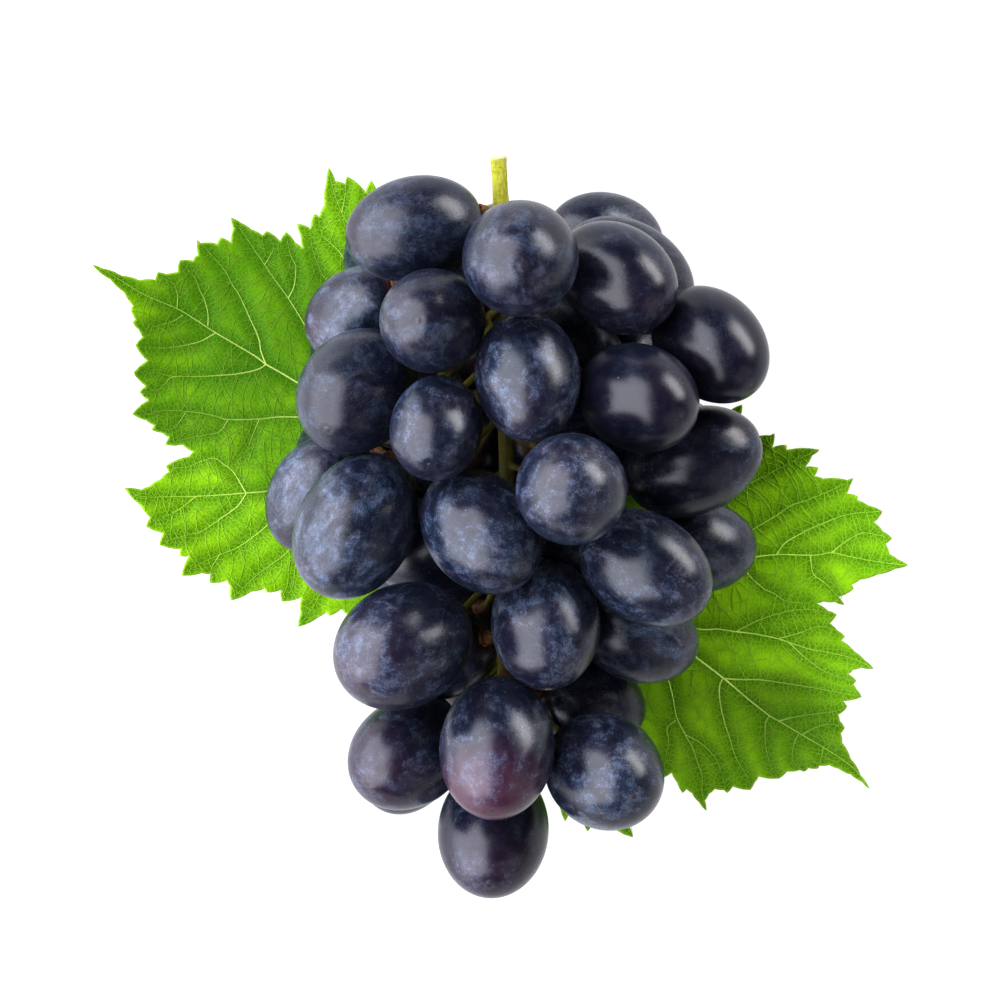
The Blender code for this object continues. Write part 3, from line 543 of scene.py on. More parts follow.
def points_of(mesh):
    """The points of a mesh as an array."""
    points = np.zeros(len(mesh.vertices) * 3)
    mesh.vertices.foreach_get("co", points)
    return points.reshape(-1, 3)


def smooth_share(values, start, end):
    """An eased share from 0 at start to 1 at end."""
    share = np.clip((values - start) / (end - start), 0, 1)
    return share * share * (3 - 2 * share)


stem_wood = build_stem_material()
stalk = read_solid("stem_skin", "stem")
grown_round = stalk.modifiers.new("round", "REMESH")
grown_round.mode = "VOXEL"
grown_round.voxel_size = STEM_VOXEL * MM
eased = stalk.modifiers.new("ease", "SMOOTH")
eased.factor = STEM_EASE
eased.iterations = STEM_SMOOTHING
take_shape(stalk)
where = points_of(stalk.data)
normals = np.zeros(len(where) * 3)
stalk.data.vertices.foreach_get("normal", normals)
normals = normals.reshape(-1, 3)
cut_y = stem_points[:, 1].max()
to_cap = np.full(len(where), np.inf)
for cap_end, _, _ in stem_ends:
    to_cap = np.minimum(to_cap, np.linalg.norm(where - cap_end, axis=1))
near_cap = 1 - smooth_share(to_cap, CAP_CORE * MM, CAP_REACH * MM)
from_cut = cut_y - where[:, 1]
lift = np.zeros(len(where))
for index, point in enumerate(where):
    ridge = noise.noise(Vector(point) * Vector((RIDGE_ACROSS, RIDGE_ALONG, RIDGE_ACROSS)))
    wart = max(0.0, noise.noise(Vector(point) * WART_SCALE))
    lift[index] = STEM_RIDGES * ridge + STEM_WARTS * wart * (WARTS_OFF_CAPS + near_cap[index])
lift = np.where(from_cut < CUT_FLAT * MM, np.minimum(lift, 0), lift)
where += normals * (STEM_SWELL * 0.5 + lift)[:, None] * MM
where[:, 1] = np.minimum(where[:, 1], cut_y)
stalk.data.vertices.foreach_set("co", where.ravel())
mark(stalk.data, "stem_brown", near_cap)
mark(stalk.data, "stem_cut", 1 - smooth_share(from_cut, CUT_EDGE * MM, CUT_LENGTH * MM))
mark(stalk.data, "stem_inner", smooth_share(from_cut, INNER_FROM * MM, INNER_TO * MM))
stalk.data.materials.clear()
stalk.data.materials.append(stem_wood)
stalk.data.shade_smooth()
settle_piece(stalk, "stem_green", "stem")

anchors = bpy.data.meshes.new("collar_points")
anchors.from_pydata([tuple(end - way * COLLAR_SINK * MM) for end, way, _ in stem_ends], [], [])
facing = anchors.attributes.new("way", "FLOAT_VECTOR", "POINT")
facing.data.foreach_set("vector", np.array([way for _, way, _ in stem_ends], dtype=np.float32).ravel())
collars = grow("stem_collars", build_collar_tree(), {
    "Radius": COLLAR_RADIUS * MM, "Thickness": COLLAR_TUBE * MM, "Roughness": COLLAR_ROUGH * MM,
    "Material": stem_wood}, anchors)
for mark_name, share in (("stem_brown", 1.0), ("stem_cut", 0.0), ("stem_inner", 1.0)):
    mark(collars.data, mark_name, np.full(len(collars.data.vertices), share))
settle_piece(collars, "stem_green")


# The leaves: two toothed vine leaves under the bunch, thin and soft, flat in the
# middle and lifting in waves at the tips. Blade and veins are one leaf, but the
# veins are laid on as pale ridges of their own.
LEFT_OUTLINE = [
    (-19, 63.5), (-23, 66.2), (-24.6, 67.4), (-25.9, 70.1), (-27, 67.7),
    (-30.7, 70.9), (-31.2, 69.4), (-33.1, 69.9), (-34.4, 72.6), (-34.9, 69.9),
    (-35.3, 65.2), (-36.3, 62.8), (-37.4, 63.3), (-38.1, 60.4), (-40.8, 61.4),
    (-40.1, 59), (-39.6, 56.3), (-41.2, 57.6), (-43, 59.7), (-44.2, 57.9),
    (-46.9, 59.9), (-47.7, 59), (-50, 60.2), (-52, 61.5), (-54.1, 62.6),
    (-53.6, 60.4), (-54.1, 57.6), (-56.1, 58.6), (-56.9, 57.3), (-58.8, 57.6),
    (-60.3, 57.4), (-60.9, 58.2), (-60.7, 55), (-61.4, 54.7), (-61.7, 53.9),
    (-64.4, 54), (-64.8, 51.6), (-67, 51.2), (-68.8, 51.6), (-69.3, 50.1),
    (-72.5, 50), (-76, 50.9), (-80, 52.4), (-82, 53.1), (-78.3, 50.1),
    (-75.6, 47.6), (-73.8, 44.9), (-74.2, 44), (-73.3, 42.1), (-73.9, 41.5),
    (-72.6, 40), (-71.9, 38.6), (-73.3, 36.9), (-71, 33.8), (-73.7, 31.4),
    (-71.3, 28.7), (-72.5, 27.5), (-70.8, 25.9), (-74, 23.1), (-71.2, 21.8),
    (-69.5, 20.8), (-70.1, 19.9), (-68, 19.3), (-66.6, 18.4), (-67.3, 16.9),
    (-63.9, 16.9), (-61.8, 15.5), (-62.5, 14.6), (-67.2, 12.7), (-66.6, 11.5),
    (-68.3, 10), (-70.6, 8.5), (-72.2, 7.9), (-75.5, 8.2), (-72.3, 4.7),
    (-70.4, 2.3), (-71.2, 0.5), (-67.7, -0.9), (-68.5, -3.2), (-64.2, -4.1),
    (-64.4, -5.5), (-62.6, -5.5), (-64, -9.4), (-59.9, -8.9), (-58.1, -9.1),
    (-58.3, -10.9), (-54.9, -10.4), (-54.2, -11.6), (-54.1, -14.4), (-50, -12.6),
    (-47.3, -12), (-46.9, -12.8), (-44.1, -12.3), (-43.9, -14.6), (-40, -13.8),
    (-40.1, -17), (-40.6, -19.7), (-36.4, -17.7), (-34.9, -16.7), (-34.3, -17.5),
    (-31.9, -16.1), (-30.6, -17.3), (-26.5, -19), (-22, -18), (-17.5, -13),
    (-15.5, -5), (-16, 4), (-18.5, 11.5), (-22.5, 17), (-25.5, 20),
    (-21, 23.5), (-13.5, 25.5), (-6, 32), (-1.5, 40), (1.5, 48),
    (1, 54.5), (-4, 58), (-9, 60.5), (-14, 62.5),
]
RIGHT_OUTLINE = [
    (41, 21.5), (46, 23.6), (48.7, 25), (48.4, 22.8), (49.6, 19.6),
    (52.2, 18.7), (54.3, 18.8), (55.2, 19.2), (54.8, 16.4), (57.6, 16.9),
    (57.6, 15.9), (64.3, 15.9), (62.8, 14.8), (61.4, 12.5), (64, 12.3),
    (63.2, 10.6), (65, 10.1), (69.9, 9.8), (71, 10.2), (70.4, 8.8),
    (69.7, 7.1), (71.9, 6.6), (71.8, 5.8), (74, 4.7), (76.9, 3.5),
    (75.2, 1.3), (77, -0.5), (78.8, -1.9), (77.5, -3), (78.3, -5.1),
    (80, -6.2), (82, -7.3), (79.5, -8), (75.8, -9.2), (72.4, -10.2),
    (70.7, -11.2), (71.1, -12.1), (68.1, -13.7), (69.2, -15.3), (67.3, -14.7),
    (65, -14.6), (63.7, -15), (66, -16.5), (67.7, -17.2), (66.3, -19),
    (67.8, -20.4), (69.3, -21.6), (68.6, -22.4), (71.3, -24.7), (73.3, -26.4),
    (75.1, -28.1), (72.6, -27.9), (71, -28.3), (70, -29.2), (71.6, -30.5),
    (71, -31.3), (71.7, -32.3), (72.7, -33.8), (69, -34.6), (69.8, -35.8),
    (68, -37.4), (68.3, -38.6), (69.3, -40), (68.5, -41.1), (68.8, -43),
    (70.5, -46.2), (72.5, -49.5), (74.3, -52.3), (72.8, -50.9), (70.5, -49.4),
    (68, -48.2), (66.2, -47.5), (64.2, -47.6), (63.9, -48.2), (62, -48.1),
    (61.2, -48.8), (60.3, -48.5), (57.7, -48.8), (56.1, -50.2), (52, -49.8),
    (51.2, -51), (50.3, -52.5), (46.8, -51.8), (45.7, -53.1), (45, -52.5),
    (43.2, -52.3), (42, -53.3), (41.2, -54.6), (41.5, -56.7), (40, -55),
    (38.6, -53.2), (37.5, -52.3), (36.7, -53.1), (35.6, -51), (34.5, -49),
    (32.9, -50), (29.8, -53), (27.6, -57), (25.8, -59.4), (26.7, -62),
    (23, -60.3), (18.7, -59), (17.6, -60.8), (16.6, -58.4), (13.9, -57),
    (13.1, -58.8), (12.1, -56.2), (12.4, -50), (11.4, -42), (12.6, -33),
    (17, -24.5), (22, -19.5), (26.5, -16.5), (23.8, -12), (22.5, -4),
    (24, 5), (27.5, 13), (34, 18.5),
]
LEFT_JUNCTION = (-28.5, 21.5)
RIGHT_JUNCTION = (29.0, -17.5)
# The veins of each leaf: width at its start, then the points along it
LEFT_VEINS = [
    (0.62, [(-28.5, 21.5), (-36, 26.5), (-44, 31.4), (-47, 33.1), (-49.6, 35), (-57.1, 39.4),
            (-61.7, 42.4), (-64.9, 44.3), (-68.1, 45.6), (-71.7, 47.2), (-77.8, 50.9), (-81.6, 52.9)]),
    (0.56, [(-28.5, 21.5), (-32, 28), (-36.2, 35.2), (-39.7, 41.8), (-42.5, 46.3), (-45.5, 50.5),
            (-48.6, 55), (-51.6, 59.5), (-54, 62.4)]),
    (0.40, [(-42.5, 46.4), (-41.5, 48.4), (-41.1, 50.7), (-41.1, 53.1), (-42.1, 55.1), (-43, 59.4)]),
    (0.30, [(-47.3, 53.1), (-46.2, 54.9), (-45.5, 56.8), (-46.9, 59.6)]),
    (0.44, [(-47, 33.1), (-48, 35.6), (-48.5, 38.4), (-50.2, 42.2), (-52.5, 47.2), (-53.7, 48.9),
            (-55.5, 52.2), (-59.6, 56.8), (-60.8, 58)]),
    (0.44, [(-28.5, 21.5), (-29, 34), (-29.5, 45), (-30, 54), (-30.5, 60.7), (-31.8, 63.6),
            (-33.3, 67.5), (-34.4, 72.2)]),
    (0.26, [(-31.5, 48), (-33.5, 49.5), (-35.4, 50.7), (-37.5, 55.7), (-38.1, 60.2)]),
    (0.26, [(-30.5, 53), (-32.7, 56.2), (-35.7, 59.1), (-36.3, 62.4)]),
    (0.26, [(-30, 56), (-27.8, 61), (-27.2, 67.2)]),
    (0.24, [(-31.8, 63.6), (-31.2, 66.5), (-30.8, 70.4)]),
    (0.34, [(-58.7, 40.8), (-58.7, 43.2), (-59.4, 46.1), (-60.3, 47.9), (-61.2, 50.2), (-63, 52.5),
            (-64.4, 53.8)]),
    (0.28, [(-64.9, 44.5), (-64.8, 46.8), (-65.5, 49.2), (-66.6, 49.8), (-68.7, 51.4)]),
    (0.36, [(-57.1, 39.4), (-60.2, 37.7), (-62.5, 37.1), (-65, 36.6), (-68.6, 36.3), (-70.4, 36.6),
            (-73.1, 36.9)]),
    (0.26, [(-63.7, 43), (-65.7, 41.7), (-67.3, 41.2), (-70.7, 40.4), (-72.5, 40.1)]),
    (0.42, [(-47, 33.1), (-48.1, 32.3), (-49.9, 31.7), (-53.2, 31.1), (-55.8, 30.9), (-59.4, 30.7),
            (-65.8, 30.7), (-68.6, 31.3), (-71.2, 31.5), (-73.5, 31.4)]),
    (0.26, [(-64, 30.7), (-66.3, 30.3), (-68.4, 28.1), (-72.4, 27.5)]),
    (0.50, [(-28.5, 21.5), (-36, 22.3), (-44, 22.5), (-48.4, 22.1), (-54.6, 22), (-57.6, 22.8),
            (-60.2, 23.3), (-62.7, 23.6), (-68.1, 23.8), (-70.7, 23), (-73.8, 23.1)]),
    (0.28, [(-54.6, 21.9), (-56.4, 19.5), (-59.4, 18.8), (-63, 18.2), (-67, 17.1)]),
    (0.24, [(-63.2, 23.4), (-64.8, 21), (-66, 20.1), (-69.9, 20)]),
    (0.28, [(-48.4, 21.9), (-49.9, 18.3), (-50.9, 15.5), (-53.5, 13.2)]),
    (0.54, [(-28.5, 21.5), (-33, 16), (-38, 11), (-42, 8.8), (-46, 7.7), (-51, 7.2), (-60, 6.6),
            (-65.4, 6.5), (-72, 6.5), (-75.2, 8.1)]),
    (0.34, [(-51, 7.2), (-53.7, 11.6), (-55.3, 12.8), (-57.3, 14.2), (-59.9, 13.6), (-63.5, 12.3),
            (-67, 12.7)]),
    (0.34, [(-51, 7.1), (-52.7, 4.6), (-55.8, 2.3), (-57.8, 0.9), (-60.4, -0.7), (-63.5, -1.4),
            (-68.3, -3.1)]),
    (0.26, [(-61, 6.6), (-65, 3.6), (-70.8, 0.7)]),
    (0.42, [(-36, 12.8), (-40, 6.5), (-46.8, 0.7), (-48.7, -0.9), (-52.6, -3.7), (-56, -5.1),
            (-60.2, -7), (-63.8, -9.2)]),
    (0.26, [(-56.4, -5.3), (-58, -8), (-58.3, -10.7)]),
    (0.44, [(-28.5, 21.5), (-33, 7), (-38, 0.5), (-42.5, -4.4), (-44.6, -6.2), (-48.6, -9.1),
            (-54, -14.2)]),
    (0.26, [(-38, 0.5), (-40.8, -6), (-41.7, -11.8), (-43.8, -14.4)]),
    (0.40, [(-28.5, 21.5), (-30, 0), (-33.5, -8), (-36.4, -13.6), (-38.1, -16.7), (-40.5, -19.5)]),
    (0.36, [(-28.5, 21.5), (-22, 30), (-15, 40), (-8, 50), (-6, 57)]),
]
RIGHT_VEINS = [
    (0.62, [(29, -17.5), (34, -21.5), (40, -26.3), (45, -30.1), (50, -34.3), (54.1, -37.5),
            (56.2, -38.7), (60, -41), (65, -43.9), (69.3, -46.7), (71.9, -49), (74.2, -52.1)]),
    (0.40, [(44.9, -30.1), (44.2, -31.3), (44.1, -33.4), (44.4, -35.7), (45.1, -38.8), (46.2, -42.1),
            (47.4, -45.9), (49.8, -50.1), (50.3, -52.3)]),
    (0.38, [(45, -30.1), (47.7, -30.3), (50.8, -30.3), (52.8, -30.4), (57.7, -31.1), (62.1, -31.8),
            (65.6, -32.4), (72.4, -33.7)]),
    (0.32, [(54.1, -37.6), (53.5, -38.8), (53.3, -40.5), (53.5, -44.1), (54.7, -48.3), (56.1, -50.1)]),
    (0.32, [(56.2, -38.6), (59, -37.9), (63.1, -37.2), (67.7, -36.6), (69.7, -35.8)]),
    (0.28, [(60, -41.3), (59.1, -43.4), (58.9, -46.7), (61.2, -48.6)]),
    (0.28, [(60.9, -41.3), (62.9, -40.2), (65.2, -39.4), (67, -39.3), (69.2, -40)]),
    (0.24, [(65, -43.9), (64.6, -46), (64, -48)]),
    (0.50, [(29, -17.5), (34, -18.5), (40, -20.2), (43.8, -20.2), (47.4, -20.7), (51, -21.1),
            (55.9, -22.1), (58, -22.8), (62.3, -24.2), (65.4, -24.7), (70.8, -26), (74.9, -28)]),
    (0.26, [(55.9, -22.1), (60, -21), (64, -19.6), (67.6, -20.5)]),
    (0.26, [(58, -22.8), (62, -26.4), (66, -29), (71.4, -30.5)]),
    (0.26, [(47.4, -20.7), (52, -18.4), (57, -16.8), (62, -16.2), (67.4, -17.2)]),
    (0.50, [(29, -17.5), (31.5, -24), (34.2, -31.7), (35.2, -36.5), (35.6, -38.1), (37.2, -41.3),
            (38.8, -44.2), (39.9, -47.5), (40.7, -50), (40.6, -53.1), (41.5, -56.5)]),
    (0.28, [(35.4, -38.5), (33.6, -40), (33.9, -42.8), (33.2, -46.7), (32.9, -49.8)]),
    (0.26, [(37.2, -41.3), (41, -43.6), (43.8, -47), (45.6, -52.8)]),
    (0.54, [(29, -17.5), (35, -12), (42, -7.5), (50.1, -5.9), (55.6, -5.2), (63.1, -5.3),
            (66.7, -4.8), (70.4, -5.6), (76.5, -6.7), (81.7, -7.3)]),
    (0.36, [(55.6, -5.1), (57.4, -2.8), (60.6, -0.9), (62.8, 0.2), (67.2, 2), (69.2, 2.7),
            (71.8, 3.2), (76.6, 3.5)]),
    (0.30, [(66.7, -4.8), (68.9, -3), (71.6, -1.3), (73.8, -0.8), (78.6, -1.9)]),
    (0.30, [(62.4, -5.4), (62.7, -8.3), (63.1, -9.3), (65.8, -11.3), (69, -14.9)]),
    (0.40, [(42, -7.3), (45.5, -4), (50, -0.7), (55, 2.3), (58.6, 4.7), (62.1, 5.9), (66.7, 7.8),
            (69, 9), (70.8, 10.1)]),
    (0.34, [(47, -6.4), (48.9, -7.8), (50.3, -9.6), (53.1, -12.1), (55.1, -13), (57.6, -14.5),
            (62, -15)]),
    (0.42, [(34, -13), (38, -2), (44, 5), (51, 9.5), (53.3, 10.6), (55.7, 11.9), (61, 14.5),
            (64.1, 15.8)]),
    (0.28, [(44, 5), (47.5, 11), (50.5, 15), (55, 18.9)]),
    (0.44, [(29, -17.5), (35, -2), (42, 12), (46, 19), (48.6, 24.7)]),
    (0.44, [(29, -17.5), (24, -35), (25, -50), (26, -57), (26.7, -61.7)]),
    (0.30, [(24, -35), (18, -44), (17, -52), (17.6, -60.5)]),
]
# How bright each lobe of a leaf is painted, as painted light and shade: a place on it and a share of the
# full green
LEFT_PAINTED_LIGHT = [(-60, 43, 0.44), (-51, 33, 0.34), (-62, 28, 0.58), (-45, 50, 0.46), (-59, 4, 1.06),
              (-32, 63, 0.98), (-45, -8, 1.10), (-42, 14, 0.62), (-76, 50, 0.8)]
RIGHT_PAINTED_LIGHT = [(62, 7, 2.15), (61, -6, 2.00), (52, -21, 1.60), (57, -37, 0.72), (39, -40, 1.02),
               (72, -50, 1.0), (70, -26, 1.70), (46, 16, 1.7), (78, -7, 2.0)]
PAINTED_LIGHT_REACH = 6.0
BLADE_RISE_FROM = 34.0
BLADE_RISE_OVER = 34.0
BLADE_RISE = 7.0
BLADE_RIPPLE = 2.4
BLADE_RIPPLES = 5
BLADE_LIFT_POWER = 1.6
BLADE_TOP = 0.60
BLADE_THICKNESS = 0.30
BLADE_CELL, CELL_ROW = 0.52, 0.866
RIM_CLEARANCE = 0.45
MARGIN_STEP = 0.5
TOOTH_BULGE = 0.055
VEIN_STEP, VEIN_TIP = 0.8, 0.18
VEIN_STANDS, VEIN_SUNK, VEIN_CLEARANCE = 0.080, 0.80, 0.02
QUILT_HEIGHT = 0.30
QUILT_REACH = 3.2
BLISTER_HEIGHT = 0.16
BLISTER_SIZE = 2.6
NET_SPACING, NET_LENGTH, NET_STEP = 2.3, 10.0, 0.5
NET_START, NET_END, NET_AHEAD = 0.8, 0.5, 0.4
NET_SPREAD = (0.7, 1.35)
NET_TURN = (62, 88)
NET_BEND, NET_WANDER = 4, 9
NET_MEETS, NET_CLEAR_STEPS = 0.6, 8
NET_WIDTH, NET_LOOSE = 0.15, 0.8


def smooth_way(points, step):
    """Points at even steps along a smooth curve through the given ones."""
    points = np.array(points, dtype=float)
    padded = np.vstack([2 * points[0] - points[1], points, 2 * points[-1] - points[-2]])
    line = []
    for k in range(1, len(padded) - 2):
        a, b, c, d = padded[k - 1:k + 3]
        count = max(1, round(np.linalg.norm(c - b) / step))
        for t in np.arange(count) / count:
            bend = (2 * a - 5 * b + 4 * c - d) * t + (3 * b - a - 3 * c + d) * t ** 2
            line.append(b + 0.5 * t * ((c - a) + bend))
    line.append(points[-1])
    return np.array(line)


def margin(outline):
    """The leaf's edge in fine steps, with each side of a tooth bulging a little."""
    points = np.array(outline)
    after = np.roll(points, -1, axis=0)
    area = (points[:, 0] * after[:, 1] - after[:, 0] * points[:, 1]).sum()
    side = 1.0 if area > 0 else -1.0
    edge = []
    for a, b in zip(points, after):
        run = b - a
        length = np.linalg.norm(run)
        out = side * np.array([run[1], -run[0]]) / length
        count = max(1, math.ceil(length / MARGIN_STEP))
        for t in np.arange(count) / count:
            edge.append(a + run * t + out * TOOTH_BULGE * length * math.sin(math.pi * t))
    return np.array(edge)


def inside(points, edge):
    """Which points lie inside a closed outline."""
    after = np.roll(edge, -1, axis=0)
    found = np.zeros(len(points), dtype=bool)
    for a, b in zip(edge, after):
        if a[1] == b[1]:
            continue
        level = (points[:, 1] >= min(a[1], b[1])) & (points[:, 1] < max(a[1], b[1]))
        cross = a[0] + (points[:, 1] - a[1]) * (b[0] - a[0]) / (b[1] - a[1])
        found ^= level & (points[:, 0] < cross)
    return found


def nearest(points, lines):
    """The distance from each point to the nearest of these lines."""
    best = np.full(len(points), 1e9)
    for line in lines:
        for a, b in zip(line[:-1], line[1:]):
            run = b - a
            t = np.clip(((points - a) @ run) / max(run @ run, 1e-9), 0, 1)
            gap = points - a - t[:, None] * run
            best = np.minimum(best, (gap ** 2).sum(axis=1))
    return np.sqrt(best)


def lifted(points, junction, phase):
    """How far the blade is lifted off the surface at each point."""
    away = points - np.array(junction)
    turn = np.arctan2(away[:, 1], away[:, 0])
    out = np.maximum(0, (np.hypot(away[:, 0], away[:, 1]) - BLADE_RISE_FROM) / BLADE_RISE_OVER)
    wave = BLADE_RISE + BLADE_RIPPLE * np.sin(BLADE_RIPPLES * turn + phase)
    return wave * out ** BLADE_LIFT_POWER


def quilted(points, veins):
    """The low pillows of a blade between its veins."""
    gap = nearest(points, veins)
    pillow = QUILT_HEIGHT * smooth_share(gap, 0.0, QUILT_REACH)
    for index, (x, y) in enumerate(points):
        found = noise.voronoi(Vector((x, y, 0.0)) / BLISTER_SIZE)[0]
        pillow[index] += BLISTER_HEIGHT * (min(1.0, found[1] - found[0]) - 0.5)
    return pillow


def top_of(points, junction, phase, veins):
    """The height of the blade's upper side."""
    return BLADE_TOP + lifted(points, junction, phase) + quilted(points, veins)


def painted_light_at(points, light_spots):
    """The painted light and shade of the blade at each point, blended between its lobes."""
    total, weights = np.zeros(len(points)), np.zeros(len(points))
    for x, y, tone in light_spots:
        near = 1 / (((points - (x, y)) ** 2).sum(axis=1) + PAINTED_LIGHT_REACH ** 2) ** 2
        total += near * tone
        weights += near
    return total / weights


def make_blade(name, edge, junction, phase, veins, light_spots, material):
    """The blade of a leaf: a thin sheet between two skins, closed at its edge."""
    low, high = edge.min(axis=0), edge.max(axis=0)
    across = np.arange(low[0], high[0], BLADE_CELL)
    up = np.arange(low[1], high[1], BLADE_CELL * CELL_ROW)
    grid = np.array([(x + BLADE_CELL * 0.5 * (row % 2), y) for row, y in enumerate(up) for x in across])
    grid = grid[inside(grid, edge)]
    grid = grid[nearest(grid, [np.vstack([edge, edge[:1]])]) > RIM_CLEARANCE * BLADE_CELL]
    flat = [Vector(p) for p in np.vstack([edge, grid])]
    found = delaunay_2d_cdt(flat, [], [list(range(len(edge)))], 1, 1e-6)
    points = np.array([tuple(v) for v in found[0]])
    faces = np.array([face for face in found[2]])
    height = top_of(points, junction, phase, veins)
    skins = [np.column_stack([points, level]) for level in (height, height - BLADE_THICKNESS)]
    a, b, c = (points[faces[:, k]] for k in range(3))
    turn = (b - a)[:, 0] * (c - a)[:, 1] - (b - a)[:, 1] * (c - a)[:, 0]
    faces[turn < 0] = faces[turn < 0][:, ::-1]
    count = len(points)
    sides = dict.fromkeys((face[k], face[(k + 1) % 3]) for face in faces for k in range(3))
    walls = [(j, i, i + count, j + count) for i, j in sides if (j, i) not in sides]
    mesh = bpy.data.meshes.new(name)
    everything = [tuple(f) for f in faces] + [tuple(f[::-1] + count) for f in faces] + walls
    mesh.from_pydata((np.vstack(skins) * MM).tolist(), [], everything)
    mark(mesh, "leaf_vein", np.tile(nearest(points, veins), 2))
    mark(mesh, "leaf_rim", np.tile(nearest(points, [np.vstack([edge, edge[:1]])]), 2))
    mark(mesh, "leaf_under", np.repeat([0.0, 1.0], count))
    # Painted light and shade of the lobes, kept on both skins
    mark(mesh, "leaf_painted_light", np.tile(painted_light_at(points - moved, light_spots), 2))
    mesh.materials.append(material)
    mesh.shade_smooth()
    piece = bpy.data.objects.new(name, mesh)
    show(piece)
    return piece


def cross_veins(veins, edge, seed):
    """The fine veins that run across from each vein to the next."""
    pick = np.random.default_rng(seed)
    pieces = []
    starts = []
    for number, line in enumerate(veins):
        run = np.concatenate([[0], np.cumsum(np.linalg.norm(np.diff(line, axis=0), axis=1))])
        for side in (-1, 1):
            at = pick.uniform(NET_START, NET_SPACING)
            while at < run[-1] - NET_END:
                spot, ahead = (np.array([np.interp(reach, run, line[:, k]) for k in (0, 1)])
                               for reach in (at, at + NET_AHEAD))
                turn = side * math.radians(pick.uniform(*NET_TURN))
                starts.append((number, spot, math.atan2(*(ahead - spot)[::-1]) + turn))
                at += NET_SPACING * pick.uniform(*NET_SPREAD)
    everywhere = [(number, point) for number, line in enumerate(veins) for point in line]
    owners = np.array([number for number, _ in everywhere])
    dots = np.array([point for _, point in everywhere])
    for number, spot, turn in starts:
        line = [spot]
        bend = pick.uniform(-NET_BEND, NET_BEND)
        met = False
        for step in range(int(NET_LENGTH / NET_STEP)):
            turn += math.radians(bend + pick.uniform(-NET_WANDER, NET_WANDER))
            spot = spot + NET_STEP * np.array([math.cos(turn), math.sin(turn)])
            away = ((dots - spot) ** 2).sum(axis=1)
            close = int(away.argmin())
            if away[close] < NET_MEETS ** 2 and (owners[close] != number or step > NET_CLEAR_STEPS):
                line.append(dots[close])
                met = True
                break
            line.append(spot)
        line = np.array(line)
        kept = inside(line, edge)
        if not kept.all():
            line = line[:int(np.argmin(kept))]
        if len(line) > 2:
            pieces.append((NET_WIDTH if met else NET_WIDTH * NET_LOOSE, line))
    return pieces


def build_vein_tree():
    """Tapered ridges along lines, each as thick as its line says."""
    tree, given = new_tree("veins", [("Sides", "Int"), ("Material", "Material")])
    curve = put(tree, "GeometryNodeMeshToCurve", {"Mesh": given.outputs["Geometry"]})
    width = put(tree, "GeometryNodeInputNamedAttribute", {"Name": "width"}, data_type="FLOAT")
    sized = put(tree, "GeometryNodeSetCurveRadius", {"Curve": curve.outputs[0], "Radius": width.outputs[0]})
    section = put(tree, "GeometryNodeCurvePrimitiveCircle", {
        "Resolution": given.outputs["Sides"], "Radius": 1.0})
    ridge = put(tree, "GeometryNodeCurveToMesh", {"Curve": sized.outputs[0],
                                                  "Profile Curve": section.outputs[0],
                                                  "Scale": width.outputs[0],
                                                  "Fill Caps": True})
    end_tree(tree, ridge.outputs[0], given.outputs["Material"])
    return tree


def lay_veins(name, tree, lines, junction, phase, veins, light_spots, sides, material):
    """Ridges laid on the blade, each tapering along its line."""
    places, links, widths = [], [], []
    for width, line in lines:
        radius = 0.5 * width * np.linspace(1.0, VEIN_TIP if width > NET_WIDTH else 1.0, len(line))
        height = top_of(line, junction, phase, veins) + VEIN_STANDS - radius * VEIN_SUNK
        height = np.maximum(height, radius + VEIN_CLEARANCE)
        first = len(places)
        places += [tuple(p) for p in np.column_stack([line, height]) * MM]
        links += [(first + k, first + k + 1) for k in range(len(line) - 1)]
        widths += list(radius * MM)
    mesh = bpy.data.meshes.new(name)
    mesh.from_pydata(places, links, [])
    mark(mesh, "width", widths)
    # The painted light and shade of the lobes under the ridges
    mark(mesh, "leaf_painted_light", painted_light_at(points_of(mesh)[:, :2] / MM - moved, light_spots))
    return grow(name, tree, {"Sides": sides, "Material": material}, mesh)


# Leaf green: mottled between middle and bright, with painted shade beside the veins,
# where the blade dips, which leaves it brighter where it bulges; yellow at the teeth,
# paler and duller underneath, with a net of the finest veins pressed in, and painted
# light and shade laid on lobe by lobe.
LEAF_BRIGHT = (0.192, 0.362, 0.003, 1.0)
LEAF_MIDDLE = (0.114, 0.250, 0.002, 1.0)
LEAF_DEEP = (0.050, 0.134, 0.001, 1.0)
LEAF_RIM = (0.260, 0.400, 0.030, 1.0)
LEAF_SHADE = (0.012, 0.072, 0.001, 1.0)
LEAF_UNDER = (0.180, 0.300, 0.060, 1.0)
LEAF_NET = (0.230, 0.390, 0.035, 1.0)
LEAF_FINE = (0.170, 0.310, 0.020, 1.0)
VEIN_PALE = (0.450, 0.560, 0.160, 1.0)
VEIN_GREEN = (0.200, 0.350, 0.030, 1.0)
LEAF_CLOUDS = (16.0, 3.0, 0.6, 0.4, 0.34, 0.66)
LEAF_FLECKS = (1.6, 5.0, 0.7, 0.3, 0.38, 0.66)
VEIN_CLOUDS = (5.0, 3.0, 0.6, 0.2, 0.36, 0.64)
# Bands of colour: from and to, in millimetres off a line, and the share on it; the first is painted shade
# beside the veins
SHADE_BESIDE_VEINS = (0.1, 3.4, 0.80, 0.0)
AT_RIM = (0.05, 0.6, 0.45, 0.0)
ON_NET, IN_NET = (0.02, 0.11, 1.0, 0.0), (0.0, 0.35)
NET_SCALE, NET_WARP_SCALE, NET_WARP = 1.1, 0.5, 0.7
FLECK_SHARE, NET_SHARE, UNDER_SHARE, PALE_SHARE = 0.15, 0.45, 0.7, 0.3
PALE_WIDTH = (0.04, 0.26)
# The veins follow the painted light and shade of their lobe, but are not darkened below this share
LEAST_PAINTED_LIGHT = 0.62
LEAF_ROUGH, ROUGH_BY_FLECKS, ROUGH_UNDER = 0.44, 0.12, 0.25
VEIN_ROUGH = 0.40
LEAF_RELIEF, FLECK_RELIEF = 0.06, 0.25


